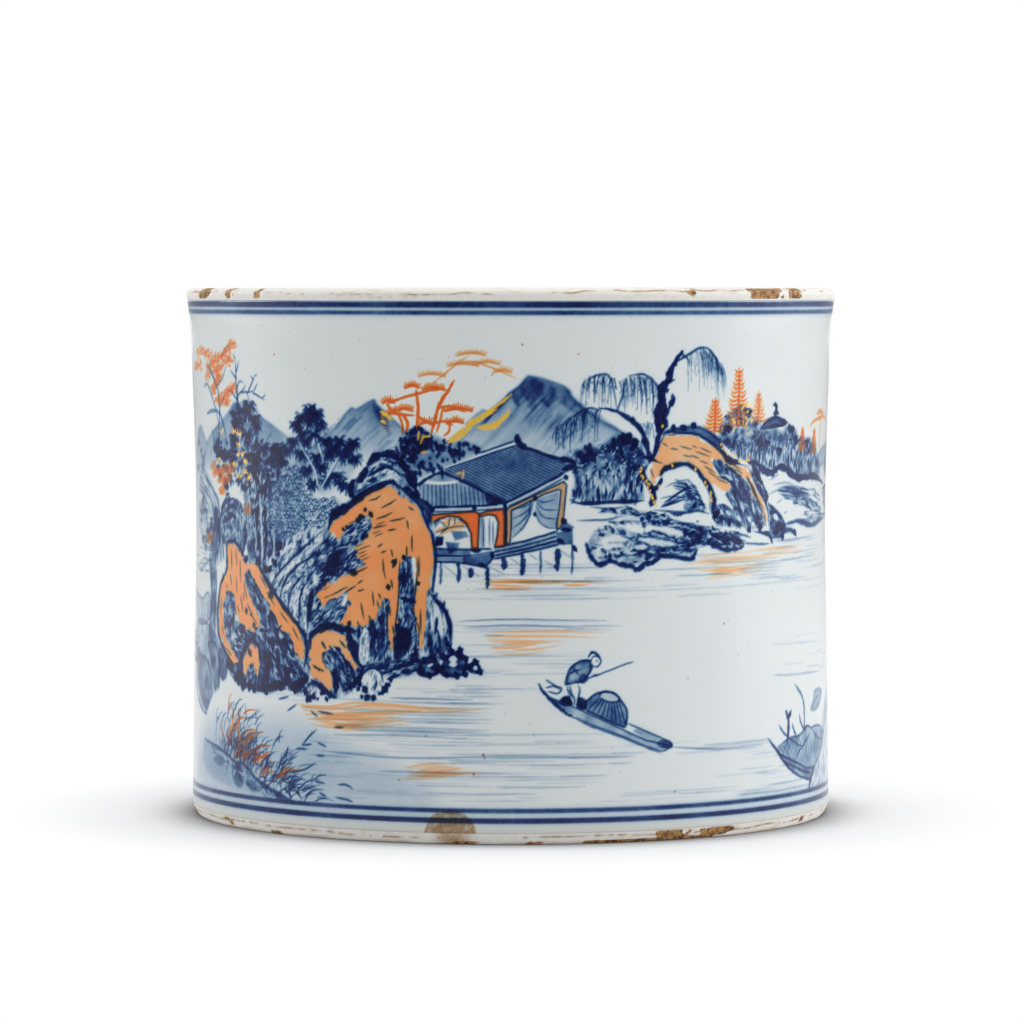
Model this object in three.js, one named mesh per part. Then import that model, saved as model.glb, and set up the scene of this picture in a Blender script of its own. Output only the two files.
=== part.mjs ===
// A porcelain brush pot: a thrown cylinder with a gently drawn-in waist and a rolled lip,
// a base slab luted on a ledge inside its foot, and the coats of glaze that cover them.
// Millimetres, +Z up. The origin is the centre of the circle on which the foot stands.
import * as THREE from 'three';

// Height of the pot and the outer radius at five levels, measured on the glazed surface.
const potHeight = 149;
const lipRadius = 92;
const shoulderRadius = 90.9;
const waistRadius = 89.5;
const bellyRadius = 90.2;
const footRadius = 90.7;

// Where those levels lie: two below the lip, two above the foot.
const lipBandDrop = 3.2;
const shoulderDrop = 15;
const waistHeight = 88;
const bellyHeight = 40;

// Thickness of the thrown wall, and the roll that finishes the lip.
const lipThickness = 6.6;
const footThickness = 8.2;
const lipRollHeight = 1.9;

// The foot: a bevelled edge outside, a flat ring to stand on, and a ledge for the slab.
const footBevelHeight = 3;
const footBevelDepth = 1.5;
const footRingWidth = 11;
const slabLedgeHeight = 3;

// The base slab and the slip joint round it.
const slabThickness = 7;
const slipJoint = 0.3;

// The glaze: its thickness, how closely it lies on the wall, and where it stops.
const glazeCoat = 0.4;
const glazeSeat = 0.1;
const glazeEnd = 0.3;
const baseGlazeMargin = 2;

// Facets round the pot, levels on a tall face and steps over the lip.
const facets = 72;
const wallLevels = 9;
const lipSteps = 8;

const lipBandHeight = potHeight - lipBandDrop;
const ledgeRadius = footRadius - footBevelDepth - footRingWidth;
const floorHeight = slabLedgeHeight + slabThickness;
const glazedFloorHeight = floorHeight + glazeCoat;
const glazeLow = footBevelHeight + glazeEnd;
const glazeHigh = lipBandHeight - glazeEnd;

// The outer outline, foot to lip, as one smooth curve through the five measured levels.
const outline = new THREE.SplineCurve([
  new THREE.Vector2(footRadius, footBevelHeight),
  new THREE.Vector2(bellyRadius, bellyHeight),
  new THREE.Vector2(waistRadius, waistHeight),
  new THREE.Vector2(shoulderRadius, potHeight - shoulderDrop),
  new THREE.Vector2(lipRadius, lipBandHeight),
]);

// Outer radius of the glazed pot at a height, by halving the curve's parameter.
function outerRadius(height) {
  let low = 0;
  let high = 1;
  for (let step = 0; step < 30; step += 1) {
    const middle = (low + high) / 2;
    if (outline.getPoint(middle).y < height) low = middle;
    else high = middle;
  }
  return outline.getPoint(low).x;
}

// The wall thins evenly from the foot to the lip.
function wallThickness(height) {
  return THREE.MathUtils.lerp(footThickness, lipThickness, height / potHeight);
}

function boreRadius(height) {
  return outerRadius(height) - wallThickness(height);
}

// Profile points of a tall face between two heights, radius given by a function of height.
// A coat of glaze and the wall under it share their levels, so the seat between them is even.
function tallFace(radiusAt, from, to) {
  return Array.from({ length: wallLevels }, (_, i) => {
    const height = THREE.MathUtils.lerp(from, to, i / (wallLevels - 1));
    return new THREE.Vector2(radiusAt(height), height);
  });
}

function corner(radius, height) {
  return new THREE.Vector2(radius, height);
}

// Turns a closed profile about the pot's axis and stands it up along +Z.
function turned(name, profile, material) {
  const points = profile[0].x === 0 ? profile : [...profile, profile[0].clone()];
  const geometry = new THREE.LatheGeometry(points, facets);
  geometry.rotateX(Math.PI / 2);
  const mesh = new THREE.Mesh(geometry, material);
  mesh.name = name;
  return mesh;
}

const porcelainBody = new THREE.MeshStandardMaterial({ color: 0xe6e1d6, roughness: 0.65, metalness: 0 });
const slabBody = new THREE.MeshStandardMaterial({ color: 0xe2dbcd, roughness: 0.7, metalness: 0 });
const paintedGlaze = new THREE.MeshStandardMaterial({ color: 0xdfe8ec, roughness: 0.12, metalness: 0 });
const liningGlaze = new THREE.MeshStandardMaterial({ color: 0xe3ebee, roughness: 0.15, metalness: 0 });
const baseGlazeFinish = new THREE.MeshStandardMaterial({ color: 0xe0e8ea, roughness: 0.2, metalness: 0 });

// The thrown wall: bare at the lip and the foot, and set back under the glaze between them.
function wall() {
  const coat = glazeCoat + glazeSeat;
  const lipMiddle = outerRadius(lipBandHeight) - wallThickness(potHeight) / 2;
  const lipRoll = Array.from({ length: lipSteps + 1 }, (_, i) => {
    const angle = (Math.PI * i) / lipSteps;
    return corner(
      lipMiddle + (wallThickness(potHeight) / 2) * Math.cos(angle),
      potHeight - lipRollHeight + lipRollHeight * Math.sin(angle),
    );
  });
  const glazedBody = (height) => outerRadius(height) - coat;
  return turned('wall', [
    corner(ledgeRadius, 0),
    corner(footRadius - footBevelDepth, 0),
    corner(footRadius, footBevelHeight),
    corner(glazedBody(glazeLow - glazeEnd / 2), glazeLow - glazeEnd / 2),
    ...tallFace(glazedBody, glazeLow, glazeHigh),
    corner(glazedBody(lipBandHeight), lipBandHeight),
    corner(outerRadius(lipBandHeight), lipBandHeight),
    ...lipRoll,
    ...tallFace(boreRadius, lipBandHeight, floorHeight),
    corner(boreRadius(slabLedgeHeight), slabLedgeHeight),
    corner(ledgeRadius, slabLedgeHeight),
  ], porcelainBody);
}

// The base slab: it seats on the ledge, with the slip joint all round its rim.
function baseSlab() {
  const rim = boreRadius(slabLedgeHeight) - slipJoint;
  const topRim = Math.min(rim, boreRadius(floorHeight) - slipJoint);
  return turned('base_slab', [
    corner(0, slabLedgeHeight),
    corner(rim, slabLedgeHeight),
    corner(topRim, floorHeight),
    corner(0, floorHeight),
  ], slabBody);
}

// The clear glaze outside, from the bevel of the foot to the bare band of the lip.
function outerGlaze() {
  return turned('outer_glaze', [
    ...tallFace(outerRadius, glazeLow, glazeHigh),
    ...tallFace((height) => outerRadius(height) - glazeCoat, glazeHigh, glazeLow),
  ], paintedGlaze);
}

// The glaze inside, down the bore and over the floor in one coat.
function innerGlaze() {
  const skin = (height) => boreRadius(height) - glazeSeat;
  return turned('inner_glaze', [
    corner(0, floorHeight),
    ...tallFace(skin, floorHeight, lipBandHeight),
    ...tallFace((height) => skin(height) - glazeCoat, lipBandHeight, glazedFloorHeight),
    corner(0, glazedFloorHeight),
  ], liningGlaze);
}

// The glaze under the base, inside the standing ring.
function baseGlaze() {
  const edge = ledgeRadius - baseGlazeMargin;
  return turned('base_glaze', [
    corner(0, slabLedgeHeight - glazeCoat),
    corner(edge, slabLedgeHeight - glazeCoat),
    corner(edge, slabLedgeHeight),
    corner(0, slabLedgeHeight),
  ], baseGlazeFinish);
}

const brushPot = new THREE.Group();
brushPot.add(wall(), baseSlab(), outerGlaze(), innerGlaze(), baseGlaze());

export default brushPot;
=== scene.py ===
from functools import partial
import bpy
import numpy as np
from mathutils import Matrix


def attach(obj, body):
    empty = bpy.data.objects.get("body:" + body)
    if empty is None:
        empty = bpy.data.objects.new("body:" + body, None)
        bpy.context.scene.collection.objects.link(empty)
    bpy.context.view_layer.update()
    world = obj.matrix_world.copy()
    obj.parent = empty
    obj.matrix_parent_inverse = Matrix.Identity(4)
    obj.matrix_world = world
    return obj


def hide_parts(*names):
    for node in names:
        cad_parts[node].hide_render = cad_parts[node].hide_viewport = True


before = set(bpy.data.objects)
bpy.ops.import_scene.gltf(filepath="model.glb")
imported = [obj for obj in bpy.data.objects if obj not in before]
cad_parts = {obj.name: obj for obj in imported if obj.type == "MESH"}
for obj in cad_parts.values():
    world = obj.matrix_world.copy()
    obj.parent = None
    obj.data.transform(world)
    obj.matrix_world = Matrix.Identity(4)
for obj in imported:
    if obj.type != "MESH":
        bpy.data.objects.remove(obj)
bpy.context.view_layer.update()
print("frame loaded")

scene = bpy.context.scene
scene.view_settings.view_transform = "Standard"
mm = 0.001

# the camera stands 1.4 m off, level with the lip and tilted a little down
camera = {"distance": 1.4168, "height": 0.1512, "aside": 0.00037, "tilt": 2.67, "lens": 174.8}
view = bpy.data.objects.new("camera", bpy.data.cameras.new("camera"))
view.data.lens = camera["lens"]
view.location = (camera["aside"], -camera["distance"], camera["height"])
view.rotation_euler = (np.radians(90 - camera["tilt"]), 0, 0)
scene.collection.objects.link(view)
scene.camera = view


def tint(red, green, blue):
    # a colour given as it looks on a screen, 0 to 255, turned into the shader's linear one
    c = np.array([red, green, blue]) / 255
    linear = np.where(c < 0.04045, c / 12.92, ((c + 0.055) / 1.055) ** 2.4)
    return (*linear.tolist(), 1)


def fillRamp(elements, stops):
    while len(elements) < len(stops):
        elements.new(0.5)
    for element, (position, colour) in zip(elements, stops):
        element.position = position
        element.color = colour


class Wire:
    # a socket that can be reckoned with: each operator adds the Math node it stands for
    def __init__(self, recipe, socket):
        self.recipe = recipe
        self.socket = socket

    def reckon(self, operation, a, b, clamp=False):
        return self.recipe.add("Math", {"operation": operation, "use_clamp": clamp}, {0: a, 1: b})

    def __add__(self, other):
        return self.reckon("ADD", self, other)

    def __radd__(self, other):
        return self.reckon("ADD", other, self)

    def __sub__(self, other):
        return self.reckon("SUBTRACT", self, other)

    def __rsub__(self, other):
        return self.reckon("SUBTRACT", other, self)

    def __mul__(self, other):
        return self.reckon("MULTIPLY", self, other)

    def __rmul__(self, other):
        return self.reckon("MULTIPLY", other, self)

    def __truediv__(self, other):
        return self.reckon("DIVIDE", self, other)

    def __rtruediv__(self, other):
        return self.reckon("DIVIDE", other, self)

    def __pow__(self, other):
        return self.reckon("POWER", self, other)

    def __rpow__(self, other):
        return self.reckon("POWER", other, self)

    def clamped(self):
        return self.reckon("ADD", self, 0.0, clamp=True)

    def above(self, low, high):
        # 0 below low, 1 above high and an even climb between them
        return ((self - low) / (high - low)).clamped()


class Recipe:
    # the nodes of one finish, or of the world; add() makes any node
    def __init__(self, name, tree=None):
        if tree is None:
            self.material = bpy.data.materials.new(name)
            self.material.use_nodes = True
            tree = self.material.node_tree
        self.tree = tree
        self.tree.nodes.clear()

    def add(self, kind, settings={}, sockets={}, output=0):
        node = self.tree.nodes.new("ShaderNode" + kind)
        for name, value in settings.items():
            if name == "stops":
                fillRamp(node.color_ramp.elements, value)
            else:
                setattr(node, name, value)
        for name, value in sockets.items():
            if isinstance(value, Wire):
                self.tree.links.new(value.socket, node.inputs[name])
            else:
                node.inputs[name].default_value = value
        return Wire(self, node.outputs[output] if len(node.outputs) else None)

    def attribute(self, name):
        return self.add("Attribute", {"attribute_name": name}, output=2)

    def noise(self, size, detail=3, rough=0.5):
        # cloudy noise in Object coordinates; size is a lump's breadth in metres
        return self.add("TexNoise", {}, {"Vector": self.add("TexCoord", output=3), "Scale": 1 / size,
            "Detail": detail, "Roughness": rough})

    def mix(self, share, a, b, blend="MIX"):
        return self.add("Mix", {"data_type": "RGBA", "blend_type": blend}, {0: share, 6: a, 7: b}, 2)

    def bump(self, height, strength, distance, base=None):
        sockets = {"Height": height, "Strength": strength, "Distance": distance}
        if base is not None:
            sockets["Normal"] = base
        return self.add("Bump", {}, sockets)

    def coated(self, colour, full, thickness):
        # a coat like stained glass: each thickness lets through its own power of a full coat's colour
        coat = self.add("CombineColor", {}, {k: share ** thickness for k, share in enumerate(full)})
        return self.mix(1.0, colour, coat, "MULTIPLY")

    def surface(self, sockets):
        shader = self.add("BsdfPrincipled", {}, sockets)
        self.add("OutputMaterial", {}, {"Surface": shader})
        return self.material


# the studio: a pale floor with a painted shadow about the pot's foot, four soft lamps, and a room that is
# white behind the pot and dim before it
studio = {"floorTone": (236, 236, 238), "floorRings": (0.0001, 0.12, 0.3, 0.8, 6.0), "fadeFrom": 0.09,
    "fadeTo": 0.142, "fadeCurve": 0.6, "potFoot": 0.0885, "paintedShadowEnd": 0.112, "paintedShadowCurve": 3,
    "paintedShadow": 0.75, "roomDiffuse": 0.5, "roomMirror": (-0.9, 0.1), "floorMirror": (0, 0.4),
    "mirrorDim": 0.85}
# each lamp: name, place, what it points at, width, power
lamps = (
    ("overhead", (0.1, 0.1, 1.35), (0, 0, 0.05), 1.3, 7.5),
    ("rightBox", (1.45, 0.15, 0.55), (0, 0, 0.08), 1.0, 8.8),
    ("leftBox", (-1.45, 0.4, 0.5), (0, 0, 0.08), 0.9, 7.0),
    ("frontBox", (0.6, -1.8, 0.9), (0, 0, 0.08), 1.2, 3.9))


def aimed(place, target):
    # the turn that points a lamp's -Z from its place at a target
    away = np.subtract(place, target)
    return (np.arctan2(np.hypot(away[0], away[1]), away[2]), 0, np.arctan2(away[0], -away[1]))


def makeStudio():
    for name, place, target, width, power in lamps:
        lamp = bpy.data.lights.new(name, "AREA")
        lamp.shape = "DISK"
        lamp.size = width
        lamp.energy = power
        box = bpy.data.objects.new(name, lamp)
        box.location = place
        box.rotation_euler = aimed(place, target)
        scene.collection.objects.link(box)
    # the room: pure white to the camera; reflections see it white at the back and sides, dim in front
    room = bpy.data.worlds.new("room")
    scene.world = room
    room.use_nodes = True
    recipe = Recipe("room", room.node_tree)
    seen, mirrored, through = (recipe.add("LightPath", output=k) for k in (0, 3, 6))
    toward = recipe.add("SeparateXYZ", {}, {0: recipe.add("TexCoord", output=0)}, 1)
    mirrored = mirrored + through
    strength = seen + mirrored * toward.above(*studio["roomMirror"])
    strength = strength + (1 - seen - mirrored) * studio["roomDiffuse"]
    light = recipe.add("Background", {}, {"Color": (1, 1, 1, 1), "Strength": strength})
    recipe.add("OutputWorld", {}, {"Surface": light})
    makeFloor()
    print("studio made")


def makeFloor():
    # a wide disc; its matt white gives way to plain white light with distance, so no horizon shows
    angles = np.linspace(0, 2 * np.pi, 97)[:-1]
    x, y = (np.outer(studio["floorRings"], way(angles)) for way in (np.cos, np.sin))
    floor = gridObject("floor", x, y, x * 0, wrap=True)
    recipe = Recipe("floorPaper")
    place = recipe.add("TexCoord", output=3)
    far = recipe.add("VectorMath", {"operation": "LENGTH"}, {0: place}, 1)
    seen, mirrored = (recipe.add("LightPath", output=k) for k in (0, 3))
    paper = recipe.add("BsdfDiffuse", {}, {"Color": tint(*studio["floorTone"])})
    white = recipe.add("Emission", {}, {"Color": (1, 1, 1, 1), "Strength": 1.0})
    black = recipe.add("BsdfDiffuse", {}, {"Color": (0, 0, 0, 1)})
    fade = far.above(studio["fadeFrom"], studio["fadeTo"]) ** studio["fadeCurve"] * seen
    lit = recipe.add("MixShader", {}, {0: fade, 1: paper, 2: white})
    # a painted shadow: near the pot's foot the paper fades to black for the camera; the pot mirrors only a
    # dim floor on the viewer's side
    under = 1 - far.above(studio["potFoot"], studio["paintedShadowEnd"])
    ahead = recipe.add("SeparateXYZ", {}, {0: place}, 1) * -1
    shade = under ** studio["paintedShadowCurve"] * studio["paintedShadow"] * seen
    dark = shade + mirrored * ahead.above(*studio["floorMirror"]) * studio["mirrorDim"]
    dim = recipe.add("MixShader", {}, {0: dark.clamped(), 1: lit, 2: black})
    recipe.add("OutputMaterial", {}, {"Surface": dim})
    floor.data.materials.append(recipe.material)


def gridObject(name, x, y, z, wrap=False, caps=(False, False), closedRows=False):
    # a sheet of quads over a grid of points in metres: wrap joins its sides, a cap closes an end row
    rows, columns = x.shape
    points = np.stack([x, y, z], -1).reshape(-1, 3)
    across = columns if wrap else columns - 1
    down = rows if closedRows else rows - 1
    j, i = np.meshgrid(np.arange(down), np.arange(across), indexing="ij")
    nextJ, nextI = (j + 1) % rows, (i + 1) % columns
    quads = [j * columns + i, j * columns + nextI, nextJ * columns + nextI, nextJ * columns + i]
    quads = np.stack(quads, -1).reshape(-1, 4)
    loops, counts = [quads.ravel()], [np.full(len(quads), 4)]
    for row, cap in ((0, caps[0]), (rows - 1, caps[1])):
        if cap:
            points = np.vstack([points, points[row * columns:(row + 1) * columns].mean(0)])
            ring = row * columns + np.arange(columns)
            pole = np.full(columns, len(points) - 1)
            fan = (np.roll(ring, -1), ring, pole) if row == 0 else (ring, np.roll(ring, -1), pole)
            loops.append(np.stack(fan, -1).ravel())
            counts.append(np.full(columns, 3))
    loops, counts = np.concatenate(loops), np.concatenate(counts)
    mesh = bpy.data.meshes.new(name)
    mesh.vertices.add(len(points))
    mesh.vertices.foreach_set("co", points.astype(np.float32).ravel())
    mesh.loops.add(len(loops))
    mesh.loops.foreach_set("vertex_index", loops.astype(np.int32))
    mesh.polygons.add(len(counts))
    mesh.polygons.foreach_set("loop_start", np.concatenate([[0], np.cumsum(counts)[:-1]]).astype(np.int32))
    mesh.update(calc_edges=True)
    mesh.polygons.foreach_set("use_smooth", np.ones(len(counts), bool))
    mesh.validate()
    made = bpy.data.objects.new(name, mesh)
    scene.collection.objects.link(made)
    return made


def setAttribute(piece, name, values):
    # one value for each grid point; the middle of a cap takes the last one
    spare = len(piece.data.vertices) - values.size
    flat = np.concatenate([values.ravel(), np.full(spare, values.ravel()[-1])]).astype(np.float32)
    piece.data.attributes.new(name, "FLOAT", "POINT").data.foreach_set("value", flat)


makeStudio()


girth = 2 * np.pi * 90                         # the unrolled wall is 565 mm long
pigments = ("cobalt", "orange", "ironRed", "gilt", "stain")
zones = []


class Zone:
    # a stretch of the unrolled wall: u runs round it and v up it, in mm
    def __init__(self, uLow, uHigh, vLow, vHigh, step):
        self.u = np.linspace(uLow, uHigh, round((uHigh - uLow) / step) + 1)
        self.v = np.linspace(vLow, vHigh, round((vHigh - vLow) / step) + 1)
        self.step = step
        self.layer = {p: np.zeros((len(self.v), len(self.u)), np.float32) for p in pigments}

    def window(self, low, high):
        i0, i1 = np.searchsorted(self.u, (low[0], high[0]))
        j0, j1 = np.searchsorted(self.v, (low[1], high[1]))
        if i1 <= i0 or j1 <= j0:
            return None
        return slice(j0, j1), slice(i0, i1)

    def grid(self, box):
        return np.meshgrid(self.u[box[1]], self.v[box[0]])


def everywhere(low, high):
    # each zone, and each turn of the wall, that a mark with this box can reach
    for zone in zones:
        for turn in (-girth, 0, girth):
            box = zone.window((low[0] + turn, low[1]), (high[0] + turn, high[1]))
            if box is not None:
                u, v = zone.grid(box)
                yield zone, box, u - turn, v


# where the motif being drawn lands, how large, which way round and how strong
place = {"shift": (0, 0), "size": 1, "flip": 1, "depth": 1}
# the painter's hand: uneven pressure, a tremble in mm, and how thin the tip of a touch gets
hand = {"press": 0.3, "tremble": 0.07, "tip": 0.06}


def pairs(points):
    # lines are written as u, v, u, v; this makes them an array with one point in each row
    return np.asarray(points, float).reshape(-1, 2)


def placed(points):
    # where a motif drawn at one spot lands when it is drawn again at another
    return pairs(points) * (place["flip"] * place["size"], place["size"]) + place["shift"]


def ringed(points):
    # an outline that comes back to its first point
    return np.vstack([pairs(points), pairs(points)[:1]])


def strip(one, other):
    # the outline between two lines that run the same way
    return np.vstack([pairs(one), pairs(other)[::-1]])


def again(motif, u, v, size, flip=1):
    # draws a motif moved to (u, v), made smaller or turned the other way round
    place.update(shift=(u, v), size=size, flip=flip)
    motif()
    place.update(shift=(0, 0), size=1, flip=1)


def curved(points, steps=5):
    # a smooth line through given points (Catmull-Rom), as an array of points
    p = pairs(points)
    if len(p) < 3:
        return p
    p = np.vstack([2 * p[0] - p[1], p, 2 * p[-1] - p[-2]])
    t = np.linspace(0, 1, steps, endpoint=False)[:, None]
    a, b, c, d = (p[i:len(p) - 3 + i, None] for i in range(4))
    second, third = 2 * a - 5 * b + 4 * c - d, 3 * b - a - 3 * c + d
    spans = 0.5 * (2 * b + (c - a) * t + second * t**2 + third * t**3)
    return np.vstack([spans.reshape(-1, 2), p[-2]])


def lay(zone, pigment, box, cover):
    if pigment == "bare":                      # a clean wet brush, or a spot that's left unpainted
        for layer in zone.layer.values():
            layer[box] *= 1 - cover
        return
    old = zone.layer[pigment][box]
    zone.layer[pigment][box] = 1 - (1 - old) * (1 - cover)


def stroke(pigment, points, width, depth, ends=(0.3, 0.3), soft=0.3, steps=5):
    # one touch of the brush: full width in its middle, drawn out over its two ends
    line = curved(placed(points), steps)
    width, depth = width * place["size"] ** 0.7, depth * place["depth"]
    draw = np.random.default_rng(int(np.abs(line).sum() * 1000))
    press = 1 + draw.uniform(-hand["press"], hand["press"], len(line)) * (width > 0.6)
    if len(line) > 2:
        line[1:-1] += draw.normal(0, hand["tremble"] * min(width, 1.2), (len(line) - 2, 2))
    reach = np.hypot(*np.diff(line, axis=0).T)
    along = np.concatenate([[0], np.cumsum(reach)])
    total = max(along[-1], 1e-6)
    pad = width * 0.65 + soft
    for zone, box, u, v in everywhere(line.min(0) - pad, line.max(0) + pad):
        cover = np.zeros(u.shape, np.float32)
        u0, v0, step = u[0, 0], v[0, 0], zone.step
        for k in range(len(line) - 1):
            (pu, pv), (qu, qv) = line[k], line[k + 1]
            i0 = max(0, int((min(pu, qu) - pad - u0) / step))
            i1 = int((max(pu, qu) + pad - u0) / step) + 2
            j0 = max(0, int((min(pv, qv) - pad - v0) / step))
            j1 = int((max(pv, qv) + pad - v0) / step) + 2
            if i1 <= 0 or j1 <= 0 or i0 >= u.shape[1] or j0 >= u.shape[0]:
                continue
            x, y = u[j0:j1, i0:i1] - pu, v[j0:j1, i0:i1] - pv
            t = ((x * (qu - pu) + y * (qv - pv)) / max(reach[k] ** 2, 1e-9)).clip(0, 1)
            gap = np.hypot(x - t * (qu - pu), y - t * (qv - pv))
            s = (along[k] + t * reach[k]) / total
            half = width / 2 * (press[k] + (press[k + 1] - press[k]) * t)
            for share, end in ((s, ends[0]), (1 - s, ends[1])):
                if end > 0:
                    half = half * np.sqrt((share / end).clip(hand["tip"], 1))
            part = ((half - gap) / soft + 0.5).clip(0, 1)
            cover[j0:j1, i0:i1] = np.maximum(cover[j0:j1, i0:i1], part)
        lay(zone, pigment, box, cover * depth)


def inside(outline, u, v):
    # signed distance into a closed outline: positive inside, in mm
    a, b = outline, np.roll(outline, -1, axis=0)
    gap = np.full(u.shape, 1e9)
    odd = np.zeros(u.shape, bool)
    for (pu, pv), (qu, qv) in zip(a, b):
        du, dv = qu - pu, qv - pv
        t = (((u - pu) * du + (v - pv) * dv) / max(du * du + dv * dv, 1e-9)).clip(0, 1)
        gap = np.minimum(gap, (u - pu - t * du) ** 2 + (v - pv - t * dv) ** 2)
        if dv:
            odd ^= ((pv > v) != (qv > v)) & (u < pu + (v - pv) * du / dv)
    return np.where(odd, 1, -1) * np.sqrt(gap)


def closed(points):
    # a smooth closed outline through given points
    p = pairs(points)
    return curved(np.vstack([p[-1], p, p[0], p[1]]), 4)[4:-5]


def mottle(u, v, size, seed, cells=64):
    # smooth noise from 0 to 1: random numbers on a lattice of that size, blended between
    lattice = np.random.default_rng(seed).random((64, cells))
    x, y = u / size, v / size
    i, j = np.floor(x).astype(int), np.floor(y).astype(int)
    fx, fy = x - i, y - j
    fx, fy = fx * fx * (3 - 2 * fx), fy * fy * (3 - 2 * fy)
    i0, i1, j0, j1 = i % cells, (i + 1) % cells, j % 64, (j + 1) % 64
    low = lattice[j0, i0] * (1 - fx) + lattice[j0, i1] * fx
    high = lattice[j1, i0] * (1 - fx) + lattice[j1, i1] * fx
    return low * (1 - fy) + high * fy


def roundMottle(u, v, size, seed):
    # the same noise closed into a ring, so that it meets itself behind the pot
    cells = round(girth / size)
    return mottle(u, v, girth / cells, seed, cells)


def ringMottle(u, size, seed):
    # noise that changes round the pot but not up it
    return roundMottle(u, u * 0, size, seed)


def wash(pigment, points, depth, rim=0.0, soft=0.5, shade=None, cloud=0.25, size=5.0, sharp=False, ragged=0):
    # a filled outline: rim darkens its edge, shade(v) fades it by height, cloud is how
    # uneven it dries and ragged frays it
    ring = placed(points) if sharp else closed(placed(points))
    depth = depth * place["depth"]
    for zone, box, u, v in everywhere(ring.min(0) - soft, ring.max(0) + soft):
        deep = inside(ring, u, v) + ragged * (mottle(u, v, 1.1, 4) - 0.5)
        cover = (deep / soft + 0.5).clip(0, 1) * depth
        cover = cover * (1 - cloud + cloud * 2 * mottle(u, v, size, 3))
        if rim:
            cover = cover + (deep > -soft / 2) * rim * np.exp(-((deep - 0.3) / 0.6).clip(0, None) ** 2)
        if shade is not None:
            cover = cover * shade(v)
        lay(zone, pigment, box, cover.clip(0, 1))


def reserve(points, soft=0.4, keep=0.0, sharp=False):
    # wipes the wall clean inside an outline, as if the painter had left it bare
    ring = placed(points) if sharp else closed(placed(points))
    for zone, box, u, v in everywhere(ring.min(0) - soft, ring.max(0) + soft):
        clear = (inside(ring, u, v) / soft + 0.5).clip(0, 1) * (1 - keep)
        lay(zone, "bare", box, clear)


def dabs(pigment, places, length, width, depth, seed, turn=0.0, spread=0.5, soft=0.3):
    # short touches at many places, each with its own length, turn and strength
    draw = np.random.default_rng(seed)
    for u, v in pairs(places):
        a = turn + draw.normal(0, spread)
        h = length * draw.uniform(0.6, 1.2) / 2
        du, dv = h * np.cos(a), h * np.sin(a)
        stroke(pigment, [(u - du, v - dv), (u + du, v + dv)], width * draw.uniform(0.75, 1.2),
            depth * draw.uniform(0.7, 1.0), soft=soft)


def scatter(points, count, seed):
    # random places inside an outline
    ring = closed(points)
    draw = np.random.default_rng(seed)
    low, high = ring.min(0), ring.max(0)
    tries = draw.uniform(low, high, (count * 6, 2))
    return tries[inside(ring, tries[:, 0], tries[:, 1]) > 0][:count]


def between(left, right, s, t):
    # the place a share s along and a share t across a patch ruled between two lines
    spots = []
    for line in (curved(left, 8), curved(right, 8)):
        at = s * (len(line) - 1)
        spots.append(np.array([np.interp(at, range(len(line)), line[:, k]) for k in (0, 1)]))
    return spots[0] * (1 - t) + spots[1] * t


def grain(pigment, left, right, count, length, width, depth, seed, wander=0.0, soft=0.3):
    # texture strokes that run the way two guide lines run, anywhere between them
    draw = np.random.default_rng(seed)
    for _ in range(count):
        s, t = draw.random(2)
        reach = length * draw.uniform(0.5, 1.3)
        line = [between(left, right, float(np.clip(s + k * reach, 0, 1)), t) for k in (-0.5, 0, 0.5)]
        line[1] = line[1] + draw.normal(0, wander + 1e-9, 2)
        stroke(pigment, line, width * draw.uniform(0.6, 1.3), depth * draw.uniform(0.55, 1.0), soft=soft,
            steps=3)


def blurred(layer, reach):
    # a soft copy of a layer: its own neighbours, a reach of cells away, mixed in both ways
    taps = np.exp(-0.5 * (np.arange(-3 * reach, 3 * reach + 1) / reach) ** 2)
    taps = taps / taps.sum()
    pad = len(taps) // 2
    for axis in (0, 1):
        wide = np.pad(layer, [(pad, pad) if k == axis else (0, 0) for k in (0, 1)], mode="edge")
        layer = sum(t * np.take(wide, range(k, k + layer.shape[axis]), axis) for k, t in enumerate(taps))
    return layer


def fire():
    # the kiln lets cobalt creep into the glaze: edges soften, a faint haze stays, the colour pools unevenly
    for zone in zones:
        own = zone.layer["cobalt"]
        u, v = np.meshgrid(zone.u, zone.v)
        uneven = 0.86 + 0.16 * mottle(u, v, 0.9, 21) + 0.14 * mottle(u, v, 2.7, 22)
        soaked = 0.82 * own + 0.1 * blurred(own, 1) + 0.08 * blurred(own, 3)
        zone.layer["cobalt"] = (soaked * (uneven + (1 - uneven) * own ** 4)).clip(0, 1)


# the same brushes with a pigment already on them: cobalt for the first three, clean water for the lifts
ink, tone, touches = (partial(brush, "cobalt") for brush in (stroke, wash, dabs))
lift, lifts = partial(stroke, "bare"), partial(dabs, "bare")


# the four lines round the pot: height, width and depth
bands = ((144.62, 1.5, 0.84), (142.5, 1.1, 0.74), (9.15, 1.15, 0.83), (6.45, 1.35, 0.93))


def banding():
    # drawn on the wheel with a loaded brush: width, height and load wander, and a faint halo creeps out
    for v, width, depth in bands:
        for zone in zones:
            u, w = np.meshgrid(zone.u, zone.v)
            half = width / 2 * (0.94 + 0.16 * ringMottle(u, 23, 5))
            off = abs(w - v - 0.15 * (ringMottle(u, 61, 6) - 0.5))
            load = depth * (0.86 + 0.24 * roundMottle(u, w, 9, 7))
            lay(zone, "cobalt", np.s_[:, :], ((half - off) / 0.45 + 0.5).clip(0, 1) * load)
            lay(zone, "cobalt", np.s_[:, :], np.exp(-((w - v) / (width * 0.9)) ** 2) * 0.16)


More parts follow.
